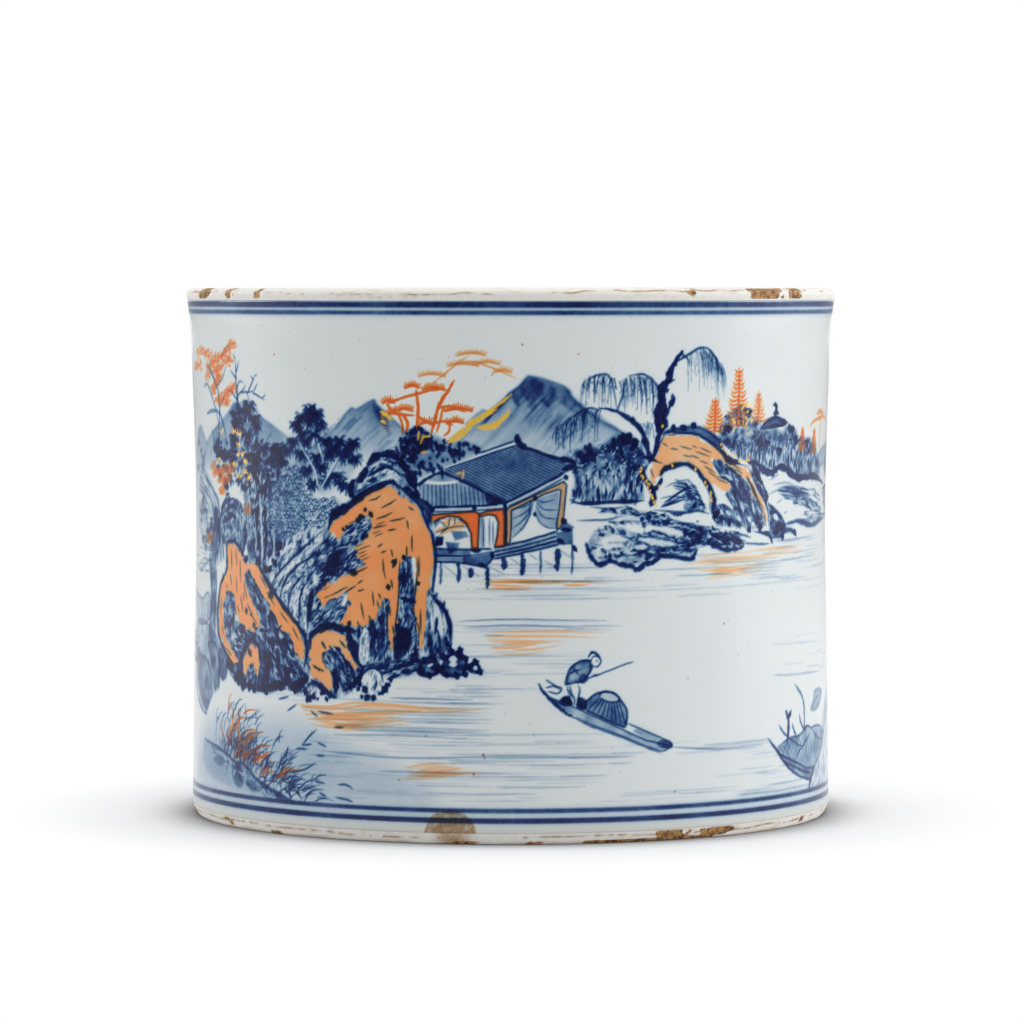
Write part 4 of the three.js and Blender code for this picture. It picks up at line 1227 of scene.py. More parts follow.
def leftRock():
    whole = [-96.5,79.5, -92,79, -84,74.5, -79.5,74.5, -72,66, -62,57, -59.5,52, -60,40, -67,40, -75,38.5,
        -83,39, -92,41.5, -101.5,52, -102.5,60, -99.5,68, -97,72]
    face = [-96,78.5, -92,78.5, -88.5,76.5, -86.5,73.5, -80,73.5, -76,68.5, -68,61, -65,59.5, -61.5,54.5,
        -60,50, -61.5,47.5, -66,54.5, -70,57, -73,61, -84,72, -86.5,70.5, -84.5,66, -77.5,57, -81,55,
        -85,55.5, -88.5,57.5, -90.5,60.5, -92,65, -95.5,65.5, -98.5,62, -98,56.5, -96,52, -88.5,47, -90,45.5,
        -94,47, -100.5,53.5, -101.5,60, -100,66.5, -95.5,71.5]
    brokenStone(whole, -0.95, 330, 90, 0.2, 2.0, dark=0.72)
    brokenStone([-98,62, -96,66, -92,65, -91,60, -93,53, -96,52, -98,56], 1.3, 60, 91, 0.35)
    brokenStone([-86,71, -84,72, -78,67, -66,55, -62,48, -61,40, -68,40, -76,40, -77,57, -81,62], -0.85, 260,
        92, 0.5)
    brokenStone([-92,50, -89,57, -82,56, -80,53, -85,51, -90,42, -95,45], -0.4, 80, 93, 0.45)
    orangeFace(face)
    tone([-89,40, -88.5,46, -86,52, -82,54.5, -78,53.5, -75,49, -75,40], 0.62, soft=0.9, cloud=0.6, size=1.5)
    orangeFace([-86,42.5, -86,47, -84,50.5, -81.5,51.5, -79,50, -78,46, -79,43], 0.85)
    brokenStone([-85,41, -84,44, -82,46, -80,44, -79,41], 1.2, 40, 94, 0.4, 1.8, 0.4)
    wash("orange", [-95,77, -91,77.5, -89,70, -92,66, -96,68], 0.3, soft=2)
    ink([-97.5,69.5, -96,72, -96,78.5, -91.5,79, -88,77, -86,75], 0.9, 0.85, ends=(0.05, 0.1))
    ink([-97.5,69.5, -100.5,66.5, -102,60, -101.5,54, -99,50.5, -93,46], 1.1, 0.88, ends=(0.05, 0.1))
    dashes(([-86.5,74.5, -84.5,74.5], [-80.5,74.5, -78.5,73.5], [-77,73, -75,71.5], [-74,60.5, -72.5,58],
        [-74.5,66, -73,64.5], [-92.5,58, -91.5,57]), 1.9, 0.98)
    ink([-80,74, -75.5,69, -68,62, -61,55.5, -59.5,50.5, -60.5,46], 1.2, 0.9, ends=(0.05, 0.1))
    ink([-86.5,42, -87,47, -84.5,51.5, -81,52.5, -78.5,50.5, -77.5,46], 1.0, 0.96, ends=(0.1, 0.1), soft=0.4)
    boulders([-94.5,45, -91,42.5, -82.5,39, -77,39.5, -72,39.5, -67,41, -62.5,41, -60,43], 2.3, 100)
    boulders([-84,60, -80,56, -76,55, -71,50], 1.2, 101)
    dashes(([-83.5,50, -82,48], [-65,46.5, -66.5,43.5], [-70.5,50, -70,45], [-74,49, -74,43.5],
        [-68.5,54, -66,50.5], [-90,51.5, -86.5,53.5], [-67.5,46.5, -67,42], [-72,56, -69.5,52]), 1.3, 0.95)
    dashes(([-93.5,77, -93,71], [-91,77, -90,72.5], [-94,70, -93,67], [-90.5,69.5, -90,65],
        [-88.5,74.5, -88,68], [-86.5,68, -84.5,63.5], [-88,64.5, -86.5,60], [-84.5,62.5, -81.5,59],
        [-99.5,63.5, -100,58.5], [-99,55.5, -97.5,53], [-78.5,70.5, -75.5,67], [-82.5,59.5, -79.5,57],
        [-95.5,49.5, -92.5,47.5], [-75.5,66, -72,62.5], [-70,61, -66.5,58], [-65,57, -62.5,53.5],
        [-96.5,67, -95.5,66], [-89.5,61.5, -88.5,59.5], [-86.5,65.5, -86,63]), 0.5, 0.8)


def leftSlopes():
    # the dim far-left slopes, behind the first rock: arch-topped boulder, hanging banks and lobes
    place["depth"] = 0.72
    brokenStone([-100,88, -97,90, -90,90, -85,83, -87,76, -94,80, -97,78, -100,80], 1.2, 110, 95, 0.4, 2.2,
        0.45, dark=0.85)
    dashes(([-100.5,85, -99,88.5, -96,90.5, -92,91], [-93,91, -88.5,89.5, -86,86.5],
        [-86,85, -85.5,81, -87,77], [-97.5,87, -94,89, -90.5,88.5], [-96.5,84.5, -93.5,86.5, -90,85.5]), 1.5,
        0.95)
    grain("cobalt", [-124,92, -114,90, -106,84, -103,72], [-118,100, -108,96, -101,88, -98,74], 80, 0.25,
        0.6, 0.5, 96, soft=0.6)
    for line, depth in (([-118,99.5, -105,92, -101.5,88, -102,78, -106,71], 0.62), ([-126,71, -120,70,
            -110,73, -105,73], 0.45), ([-104,73, -103.5,66, -104.5,58, -103,52], 0.55), ([-125,96, -118,92,
            -113,86, -110,78], 0.35)):
        ink(line, 1.1, depth, soft=0.7)
    mass([-122,90, -114,90, -107,86, -105,78, -110,76, -118,79, -124,83], 0.3, 90, 1.6, 0.5, seed=97)
    mass([-124,107, -116,106, -112,100, -116,95, -124,97], 0.12, 24, 1.8, 0.4, seed=98)
    column = [-105,88, -101,86, -101,78, -104,72, -103,62, -104,52, -109,52, -108,64, -110,74, -107,80]
    tone(column, 0.72, soft=1.2, cloud=0.6, size=3)
    touches(scatter(column, 60, 94), 3.4, 0.5, 0.7, turn=1.4, seed=94, spread=0.2)
    lifts(scatter(column, 20, 93), 3.0, 0.5, 0.8, turn=1.4, seed=93, spread=0.2)
    touches(scatter([-124,78, -106,78, -106,71, -122,70], 30, 92), 6, 0.4, 0.5, turn=0.05, seed=92,
        spread=0.1)
    for outline, depth in (([-126,54, -116,56, -106,54, -101,50, -100,43, -104,35, -110,30, -120,33,
            -126,40], 0.34), ([-110,50, -104,50.5, -100.5,46, -100,41, -101.5,36, -105.5,41, -107,46], 0.5),
            ([-125,47, -115,46, -110,45, -107,42, -106,33.5, -111,31.5, -118,36], 0.46), ([-100.5,50,
            -97,47.5, -95,43, -97.5,40.5, -100,43], 0.6), ([-128,64, -118,62, -110,64, -108,58, -114,55,
            -124,56], 0.26)):
        tone(outline, depth * 1.15, rim=0.1, soft=0.7, cloud=0.6, size=3)
        touches(scatter(outline, 30, 90), 3.2, 0.45, 0.5, turn=1.2, seed=90, spread=0.4)
        ink(ringed(outline), 0.6, 0.5)
    dashes(([-110,50, -104,50.5, -100.5,46.5, -100,41, -101.5,36], [-125,47, -115,46, -110,45, -107,42,
        -105.5,37, -106,33.5], [-106,53.5, -102.5,50.5], [-103,47, -104.5,43], [-112,43.5, -108.5,40],
        [-100.5,49.5, -97,47]), 0.8, 0.66)
    grain("cobalt", [-124,44, -114,44, -107,38], [-122,36, -114,34, -108,32], 26, 0.3, 0.6, 0.4, 99,
        soft=0.6)
    place["depth"] = 1


def archRock():
    under = [40.5,104, 43,111, 49,112.5, 56,111.5, 68,103, 73,101, 81,91, 82.5,84.5, 80,82.5, 60,84, 59,88.5,
        40,89, 37,96, 38,101]
    face = [40.5,104, 43,109, 45.5,109.5, 53,109, 59,106.5, 65,102, 72,100, 73.5,98.5, 74.5,96, 79,91.5,
        80.5,88.5, 81.5,85.5, 80.5,83.5, 79,88.5, 74.5,93, 73.5,95, 71.5,97, 63,101.5, 63,103, 60.5,102.5,
        58.5,103, 58.5,101.5, 62,97, 66,96, 65,94.5, 63.5,94, 59,96, 50,102, 43,100.5, 39.5,96, 38,100,
        40,103]
    reserve(under)
    tone([42.5,109.5, 44,111, 53,112, 59.5,109.5, 62.5,106.5, 62,104.5, 54,109, 45,110], 0.62, rim=0.2,
        soft=0.5)
    brokenStone([59,102, 63,103, 66,100, 71,97, 79,89, 80,84, 72,84, 61,85, 60,90, 66,95, 63,97], -0.9, 240,
        101, 0.3, 2.6, 0.38, 0.3, 0.68)
    brokenStone([74,101, 77,100, 78,97, 81,93, 82,88, 82,84, 81,89, 75,97], -1.0, 50, 102, 0.6)
    mound = [41,94.5, 43.5,99, 46.5,100, 50,99.5, 52.5,97.5, 57.5,89, 50,89, 42,89.5, 40.5,91.5]
    reserve(mound)
    grain("cobalt", [44,92, 52,96, 55,93], [42,90, 52,92, 57,89], 55, 0.3, 0.36, 0.75, 103, wander=0.2)
    grain("cobalt", [47,97, 51,97, 56,90], [45,95, 49,94, 54,90], 32, 0.3, 0.36, 0.7, 104, wander=0.2)
    brokenStone([50,92, 53,93, 57,89, 50,89], -0.5, 14, 103, 0.12, 1.6, 0.45, clear=False)
    inks(([43.5,95.5, 46,96.5, 49,96.5, 51.5,95], [42,92.5, 46,93, 50,92.5], [46.5,97.5, 48,97],
        [42.5,90.5, 46,91], [51,97.5, 53.5,94.5, 55.5,91]), 0.45, 0.55)
    inks(([40,89.5, 50,88.5, 54,89, 58,88], [45,88.5, 47.5,88, 50,88.5]), 0.8, 0.75)
    reserve([61,93.5, 63.5,93, 67,89, 63.5,90.5, 60.5,90.5])
    for u, v in pairs([69.2,86.4, 73.4,86, 75,84.6, 57.4,90.4, 62.4,88.2, 70,99.2]):
        reserve([(u - 0.9, v + 0.5), (u + 0.2, v + 0.7), (u + 0.9, v - 0.6), (u - 0.2, v - 0.7)], soft=0.5)
    orangeFace(face, 0.62)
    wash("orange", [58,100, 65,96, 64,94, 58,97], 0.3, soft=1.5)
    ink([42,98.5, 43.5,100.5, 50.5,101.5, 56,97.5, 59.5,92.5, 59,88], 1.5, 0.95, ends=(0.1, 0.1), soft=0.6)
    tone([52.5,101, 59,94.5, 60.5,90.5, 59.5,88, 58,89.5, 58,92.5, 56,96.5], 0.45, soft=0.6)
    ink([36.5,101, 37,98, 40,94, 39,90.5], 1.7, 0.97, ends=(0.1, 0.1), soft=0.5)
    ink([42.5,98, 41,95.5, 39.5,95], 1.2, 0.95)
    ink([36.5,103.5, 38.5,103.5, 41,102.5], 0.9, 0.95)
    inks(([40.5,104, 41.5,107, 43,109.5], [43,109.5, 54,109.5, 65,102.5, 72.5,100.5], [72.5,100.5, 77,94,
        79.5,91.5, 81.5,88.5, 82,85]), 0.6, 0.75)
    inks(([62,105, 65,102.5, 69,101.5], [45,111.5, 46.5,111.5], [48,112, 50,111], [51.5,112.5, 53,111.5],
        [52.5,90.5, 53.5,90], [75.5,99.5, 76.5,98], [76,97.5, 77.5,97]), 1.8, 0.95)
    boulders([60,88, 65,85, 78,83], 1.9, 104)
    dashes(([61,98, 65,97, 69,93, 72,87], [63,100.5, 69,97.5, 76,86], [66,94.5, 68.5,91, 69.5,87],
        [72,98, 76,92.5, 79,87]), 0.9, 0.85)
    for line in ([62,91.5, 64.5,91, 66.5,89], [64,88.5, 66,87.5], [70,91, 71,88], [74.5,90.5, 75.5,87.5],
            [63.5,98.5, 66.5,97]):
        lift(line, 1.0, 0.85)
    dashes(([48,106.5, 52,105.5], [52,106.5, 53.5,106], [54.5,106, 58.5,104.5], [53,105, 58,103.5],
        [45,106, 47.5,105.5], [51.5,104, 54.5,103], [49,104, 52,103.5], [54.5,102.5, 57.5,101.5],
        [56,101, 60,99], [57.5,99.5, 61,97.5], [60,106, 64,103.5], [64,101, 68,99], [60.5,97.5, 64.5,96],
        [72,97.5, 74,95], [74,94.5, 76.5,92.5], [75,93.5, 76,92.5], [77.5,91, 79.5,88.5], [80,87.5, 80.5,85],
        [39,100.5, 40,98], [40.5,102.5, 42.5,102], [42.5,107.5, 44,106.5], [65.5,101.5, 70,99.5],
        [67,100, 70.5,98.5]), 0.45, 0.72)


def rightBank():
    # the low white bank under the pavilion and the arch, with a scalloped dark edge to the water
    bank = [18,88.5, 24,91, 33,91, 40,89, 58,88, 60,84.5, 80,82.5, 84.5,79.5, 82,78.5, 71,79, 65.5,77.5,
        55,79.5, 51,76, 45,77, 35,73.5, 30,75, 24,74.5, 20,80, 17,86]
    reserve(bank, soft=0.5)
    brokenStone([21,80, 24,85, 30,85, 36,83, 48,82, 53,81, 52,77, 45,78, 35,75, 30,76, 25,76], -0.12, 50,
        105, 0.08, 2.4, 0.45, 0.6, clear=False)
    brokenStone([24,89, 32,90, 52,86, 58,85, 58,82, 50,83, 36,86, 28,86], -0.2, 130, 106, 0.16, 2.6, 0.5,
        0.45, dark=0.8, clear=False)
    reserve([45,87.5, 49,88, 54,88, 59.5,84.5, 49,86], soft=0.6)
    brokenStone([34,77, 35,82, 42,84, 60,83, 69,82, 68,79, 60,80, 48,77, 40,77], -0.15, 110, 105, 0.2, 2.4,
        0.5, 0.4, clear=False)
    for line in ([24,80.5, 28,82, 32,81.5], [23.5,79, 27,80, 31,80], [34,79.5, 38,79.5], [26,77.5, 30,78],
            [36,81.5, 42,80.5, 47,80], [40,84.5, 46,83.5, 50,82.5], [26,87, 32,87.5, 38,86.5]):
        lift(line, 1.5, 0.9, soft=0.5)
    reserve([20,88, 24,89, 29,88.5, 26,86.5, 21,86.5], soft=0.6)
    inks(([18,87, 26,87, 31,88], [22,90.5, 27,90, 32,90.5], [46,86, 49,85.5, 53,85.5], [53.5,86, 54.5,86]),
        0.6, 0.6)
    ink([20.5,81, 21.5,78, 24,75, 27,76, 30,75, 33,74.5, 35,73.5, 37.5,75, 40,75.5, 43,77, 51.5,76, 54,78.5],
        1.3, 0.93, ends=(0.05, 0.05), soft=0.5)
    touches(scatter([21,79, 25,77, 31,77, 36,76, 41,77, 53,79, 55,82, 50,81, 34,78, 26,79], 16, 107), 1.6,
        1.1, 0.95, turn=-0.2, seed=107, spread=0.8)
    touches([37,85.5, 40,86, 43.5,86, 44.5,86.5, 36.5,87, 38.5,87.5, 50,83, 51.5,82.5, 55,81.5, 59,81, 60,80,
        54.5,80.5, 28,84, 31,83.5, 25,83], 1.8, 1.4, 0.95, turn=0.5, seed=108)
    ink([59.5,85, 60,84, 66,84.5, 81,82, 84,79], 1.3, 0.93, ends=(0.05, 0.1))
    ink([57,81.5, 59,79.5, 61.5,79, 64,78, 70,78.5, 71,79.5], 1.6, 0.9, soft=0.5)
    inks(([71,79.5, 79,79, 82.5,79], [61,82.5, 66,82, 70,80.5], [62,81.5, 67,81, 72,80],
        [66,83, 70,82, 74,81]), 0.7, 0.66)
    brokenStone([60,82, 71,80, 68,79, 62,79], -0.3, 40, 109, 0.3, 2, 0.6, clear=False)
    # the far shore beyond it, running on round the pot
    brokenStone([81,90, 87,87, 91,83, 84,81, 82,84], -0.8, 60, 110, 0.42, 1.9)
    reserve([84.5,87, 86,87, 87,85.5, 85,85.5], soft=0.5)
    tone([85.5,84.5, 88.5,85, 90,83, 88,82, 85.5,82], 0.85, soft=0.7)
    ink([81.5,90, 87.5,87, 91.5,83], 0.8, 0.75)
    grain("cobalt", [86,95, 110,93, 118,91], [88,91, 96,90, 112,86, 122,85], 95, 0.2, 0.42, 0.6, 111,
        wander=0.2, soft=0.4)
    grain("cobalt", [94,92, 101,92, 107,89], [96,89, 103,89, 109,87], 26, 0.2, 0.5, 0.7, 112, soft=0.4)
    grain("cobalt", [103,87, 112,87, 120,87], [102,85, 112,84, 122,84], 34, 0.2, 0.45, 0.55, 113, soft=0.4)
    inks(([91,84, 99,84.5, 110,83, 126,84.5], [83.5,80.5, 88,81, 93,82.5, 97.5,80.5]), 1.4, 0.8, soft=0.6)
    inks(([95.5,82, 97.5,81], [88.5,80.5, 90,80.5]), 1.7, 0.95)
    inks(([82,92.5, 86,93.5, 89,93.5], [86,90, 89,91], [90,87, 92,87.5], [82.5,96.5, 87,98],
        [84,95, 90,95.5, 95,95]), 0.5, 0.35)


def ripples(left, right, low, high, count, depth, slope, long, seed):
    # still water: thin level lines on rows about a millimetre apart, in long broken lengths
    draw = np.random.default_rng(seed)
    for _ in range(round(count * 0.46)):
        v = low + 0.92 * draw.integers(0, max(1, round((high - low) / 0.92))) + draw.normal(0, 0.08)
        u = draw.uniform(left - 4, right - 4)
        reach = min(long * draw.uniform(0.7, 2.4), max(right - u + draw.uniform(0, 6), 5))
        bend = draw.normal(0, 0.12)
        ink([(u, v + slope * (u - left)), (u + reach / 2, v + bend + slope * (u + reach / 2 - left)),
            (u + reach, v + slope * (u + reach - left))], 0.32 * draw.uniform(0.7, 2.1),
            depth * draw.uniform(0.17, 0.5), ends=(0.1, 0.5), soft=0.35)


def glow(lines, width, depth, seed):
    # light on the water: each orange streak is a few dry passes of the brush
    draw = np.random.default_rng(seed)
    for line in lines:
        for _ in range(8):
            shift = draw.normal(0, 0.6, 2) * (4, 1)
            stroke("orange", pairs(line) + shift, width * draw.uniform(0.25, 0.5),
                depth * draw.uniform(0.9, 1.6), ends=(0.1, 0.5))


def water():
    # rows: left, right, low, high, how many, depth, slope, length
    rows = ((-20, 24, 66, 76, 60, 0.34, 0, 18), (16, 40, 66, 74, 16, 0.3, 0, 14), (-16, 26, 58, 60.6, 12,
        0.36, -0.01, 26), (-20, -2, 50, 58, 18, 0.34, 0, 12), (-14, 22, 45, 52, 22, 0.3, 0, 16),
        (-34, -6, 38, 47, 42, 0.34, 0, 14), (38, 62, 66, 78, 26, 0.36, 0, 14), (58, 84, 70, 77.6, 34, 0.36,
        -0.01, 12), (84, 112, 74, 80.6, 26, 0.32, 0.02, 14), (62, 100, 68, 70.6, 8, 0.3, 0, 20),
        (94, 124, 66, 74, 10, 0.24, 0, 18), (78, 124, 43, 47.4, 16, 0.3, -0.035, 16), (62, 112, 52, 56, 6,
        0.2, -0.03, 20), (-62, -10, 30, 39.6, 70, 0.33, 0, 20), (-62, -40, 10.6, 30, 38, 0.3, 0, 9),
        (-58, -8, 22, 31, 40, 0.36, 0, 22), (-10, 40, 26, 31, 12, 0.3, 0, 18), (-14, 32, 20.6, 25.4, 36,
        0.38, 0, 20), (44, 80, 22.6, 26.4, 14, 0.4, 0, 22), (34, 60, 24.6, 28.6, 8, 0.3, 0, 12),
        (-44, 24, 15.6, 20, 34, 0.34, 0, 20), (-46, 6, 11, 14.6, 22, 0.32, 0, 16), (24, 62, 10.6, 15, 18,
        0.3, 0, 14), (62, 100, 11, 18.6, 44, 0.34, 0, 14), (104, 124, 46, 49, 6, 0.26, -0.03, 12),
        (72, 88, 16, 24, 18, 0.32, 0, 9), (-106, -60, 29, 40, 60, 0.3, 0, 14), (-12, 10, 40, 44.6, 10, 0.26,
        0, 12))
    for k, row in enumerate(rows):
        ripples(*row, 200 + k)
    for line, depth in (([-14,60, 0,60.5, 26,60], 0.5), ([-12,58.5, 4,59, 20,58], 0.42),
            ([-33,39, -22,39, -10,39], 0.5), ([-56,24, -30,23, 0,24, 20,23.5], 0.4),
            ([44,25.5, 60,24, 78,24], 0.45), ([-50,28.5, -30,29, -12,28.5], 0.36)):
        ink(line, 0.42, depth, ends=(0.2, 0.5))
    glow(([-62,35.5, -50,35.5, -40,37, -18,36, -10,36.5], [-55,33, -35,34.5, -25,35.5],
        [-56,31.5, -47,31, -30,33], [-56,32.5, -42,33, -34,33.5], [-50,30.5, -42,31]), 1.2, 0.25, 221)
    glow(([-6,56.5, 8,56.5, 20,56], [-4,55, 4,55, 11,55], [-3,52.5, 3,52.5, 9,53.5], [-3,54, 6,54]), 0.9,
        0.22, 222)
    glow(([-27,17.5, -20,19, -10,19.5], [-26,20, -20,21, -15,21], [-22,18.5, -12,20]), 1.3, 0.2, 223)
    glow(([-6,70.5, 2,70.5, 10,70], [-4,69.5, 6,69], [16,70, 22,70]), 0.9, 0.45, 224)
    glow(([55,75, 64,75.5, 85,76], [58,73, 68,72.5, 78,73.5], [80,77, 90,77, 100,77], [60,71.5, 72,72]), 1.3,
        0.16, 225)


def sampan():
    hull = [7.6,43, 9.4,40.4, 12.5,37.4, 16,34.7, 20,32.6, 37,25.6, 41,24.5, 45,25, 45.6,26, 42,28, 36,30.6,
        16,38.6, 12.6,41.6, 9.6,43.8]
    reserve(hull)
    tone([8.8,41.2, 12.5,37.6, 16.4,34.8, 22,32, 30,28.8, 36.6,25.8, 41,24.6, 45.2,25.4, 35,28.5, 25,33.2,
        14,38, 10.4,39.8], 0.34, sharp=True, cloud=0.5, size=3)
    ink([7.4,43.4, 9,40.8, 12.5,37.3, 15,35.3, 17.6,34], 1.1, 0.88)
    ink([17.4,34, 22,31.8, 31,28.4, 40,24.7, 43,24.5, 45.4,25.4], 0.85, 0.66, ends=(0.05, 0.2))
    inks(([8.8,40.6, 11,39.4, 20,35.6, 35,28.5, 40,26.8, 45.2,25.7], [10,41.2, 12.6,40.6, 13.6,42, 11.4,42.6,
        9.4,42.2], [45.6,25.8, 44.5,26.8, 42,27.9, 32,32.2], [9.4,44.4, 11.5,43, 13.4,41.8]), 0.5, 0.74,
        ends=(0.1, 0.1))
    tone([40.6,26.2, 43,25, 45.4,25.4, 44.8,26.8, 42,27.6], 0.75, soft=0.5)
    tone([34,29.8, 38,27.6, 41,27, 40.6,28.4, 35,30.6], 0.3, soft=0.6)
    # the load amidships, a tall basket with ribs
    basket = [19.6,37.6, 24,40.8, 27,40.7, 29.4,39.2, 31.3,36.8, 31.8,34.4, 31.4,31.4, 27.6,32.6, 20.4,35.8]
    reserve(basket, soft=0.3)
    tone(basket, 0.5, soft=0.4, cloud=0.35, size=2)
    mouth = [24,39.4, 24.6,40.6, 26.6,40.9, 28.8,40, 29.6,38.6, 28.2,38, 25.8,38.4]
    reserve(mouth, soft=0.3, keep=0.3)
    for k in range(9):
        s = k / 8
        ink([(24 + 5.6 * s, 39.2 - 0.9 * s - 0.8 * np.sin(3.1 * s)), (20.9 + 10.5 * s, 36.2 - 4.6 * s)],
            0.36, 0.75, ends=(0.05, 0.05))
    inks((ringed(mouth), [19.8,38, 23.6,40.6, 27.2,40.7, 29.4,39.3, 31.4,36.6, 31.9,34.6, 31.5,31.2],
        [20.2,36.2, 28,32.4, 31.4,31]), 0.55, 0.82, ends=(0.05, 0.05))
    tone([12.8,38.2, 14,39.7, 15.6,40, 17,39.2, 16.8,37.6, 14.4,37.2], 0.85, soft=0.5)
    tone([17.8,36.8, 17.8,39.4, 19.4,39.4, 20.6,38.2, 20.2,36.2], 0.88, soft=0.5)
    # the fisherman: a bent back, a loose coat, a pole; the face is one dot
    coat = [14.6,43, 15.5,46.5, 17,48.3, 19.4,49.4, 21.8,49.2, 22,47.4, 21,45.5, 19.6,43.8, 17.4,43.4]
    reserve(coat, soft=0.3)
    reserve([15.6,43, 16,40, 17.4,37, 18.2,40, 19,43], soft=0.3)
    tone(coat, 0.42, rim=0.3, soft=0.3, cloud=0.4, size=1.5)
    tone([18.4,45, 19.8,46, 21.2,44.6, 19.8,43.2, 18.6,43.6], 0.75, soft=0.4)
    inks((ringed(coat), [15.4,45.6, 17.2,46.6, 19,47], [16.6,47.6, 18.4,45.6], [15.8,43, 16.4,40.6,
        17.1,39.2, 17.2,37.2], [18.2,42.8, 18.6,41, 17.6,37.2], [15.2,42.6, 15.6,41, 16.6,39.6],
        [20.8,44.4, 22.4,45.2, 24,45.6]), 0.5, 0.8)
    reserve([21.8,49, 22.2,50.4, 23.6,50.5, 24.5,49.2, 23.6,47.7, 22.4,47.8], soft=0.3)
    ink([21.7,49, 22.3,50.3, 23.6,50.4, 24.5,49.2, 23.6,47.7, 22.4,47.8, 21.7,49], 0.45, 0.78)
    ink([21,50.2, 22,51.5, 23.4,51, 24.4,50], 0.75, 0.88)
    ink([23.2,49.3, 23.5,49.1], 0.42, 0.9)
    ink([22.4,45, 30,47.7, 33.8,48.8], 0.4, 0.8, ends=(0.05, 0.1))


def nearBoat():
    mat = [85.4,22.6, 88,23.8, 92,24.9, 97,25, 100,25.8, 102,27, 104,27.3, 107,26.6, 113,26.8, 118,25.4,
        121.6,23.8, 120,20, 116,17.8, 110,15.6, 105,15.6, 100,16.6, 95,18, 87,21.4]
    reserve(mat)
    tone(mat, 0.36, soft=0.5, cloud=0.5, size=3)
    for k in range(13):                         # plaited matting: two sets of slanting lines
        s = k / 12
        ink([(88 + 26 * s, 20.6 - 4 * s), (91 + 28 * s, 24.2 + 1.2 * np.sin(3.1 * s) - 1.2 * s)], 0.3, 0.4)
        ink([(93 + 26 * s, 18.8 - 1.6 * s), (88 + 28 * s, 23.4 + 2.2 * np.sin(3.1 * s))], 0.3, 0.36)
    hull = [80.8,25.4, 84,22.8, 89,20, 96,17.7, 104,15.4, 110,15.6, 107,12.6, 101,13, 94,15.2, 89.5,17.5,
        85,21.4]
    reserve(hull, soft=0.3)
    tone(hull, 0.45, soft=0.5, cloud=0.4, size=3)
    inks(([80.6,25.6, 86,21.3, 89,20, 100,16.4, 104,15.4, 110,15.4], [84.4,22, 91,16.8, 97,14, 101,13,
        105,12.3, 108,13], [88,18.8, 100,15, 106,14]), 0.75, 0.78, ends=(0.1, 0.1))
    inks(([85.5,22.8, 90,24.5, 93,25, 97,25, 100,25.8, 102,27, 104,27.3, 107,26.5, 111,26.8, 115,26.5,
        118,25.5, 121,24], [95.5,18.7, 98,20.8, 104,24, 106,25.4], [91,25, 94,23.9, 97,22.5, 100,21.9],
        [107,26.4, 111,24, 116,22.6, 120,22]), 0.6, 0.66)
    inks(([89.7,32.5, 91.2,30.6, 93.1,32.4], [91.4,31, 91.2,27, 90.6,23.3]), 1.3, 0.9)
    inks(([86.2,28.8, 88,27, 90.5,25.3], [93.5,28.7, 94.5,26.8, 96,25], [98,31, 99,28.5, 101.5,26.5,
        104,27.3]), 0.75, 0.8)
    ink([95.3,39.4, 99.5,36.3, 101,34, 101.5,31, 101.5,25.8], 0.85, 0.6, ends=(0.2, 0.05))
    tone([106.6,31.6, 109,34, 110,36.4, 113,37, 117,36.8, 119,35.8, 117,33.5, 114,31.8, 110,31], 0.34,
        rim=0.14, soft=0.6)
    ink([107.6,32.4, 112,34.4, 118,35.8], 0.4, 0.4)
    # past its stern a tall rock, its dark side turned this way, then a dim flank and a large pale stone
    again(leftRock, 76, -23.5, 0.9, -1)
    tone([117,25.4, 122,31, 129,36.5, 136,38, 140,34, 137,29, 128,29, 120,22], 0.3, soft=1.2, cloud=0.5,
        size=3)
    stone = [104.4,9.6, 106.2,12.4, 110,15.6, 115.6,18.8, 120.2,23.4, 124.4,27.4, 130,30.2, 135,29, 139,24,
        141.5,17, 142,9.6]
    reserve(stone, soft=0.6)
    tone(stone, 0.1, soft=1.2, cloud=0.6, size=3)
    touches(scatter(stone, 110, 231), 3.2, 0.5, 0.33, turn=0.7, seed=231, spread=0.25, soft=0.5)
    ink([104.4,9.6, 106.2,12.4, 110,15.6], 1.3, 0.8, soft=0.5)
    ink([110,15.6, 115.6,18.8, 120.2,23.4, 124.4,27.4, 130,30.2, 135,29, 139,24, 141.5,17, 142,10], 0.9,
        0.45, ends=(0.05, 0.1), soft=0.6)


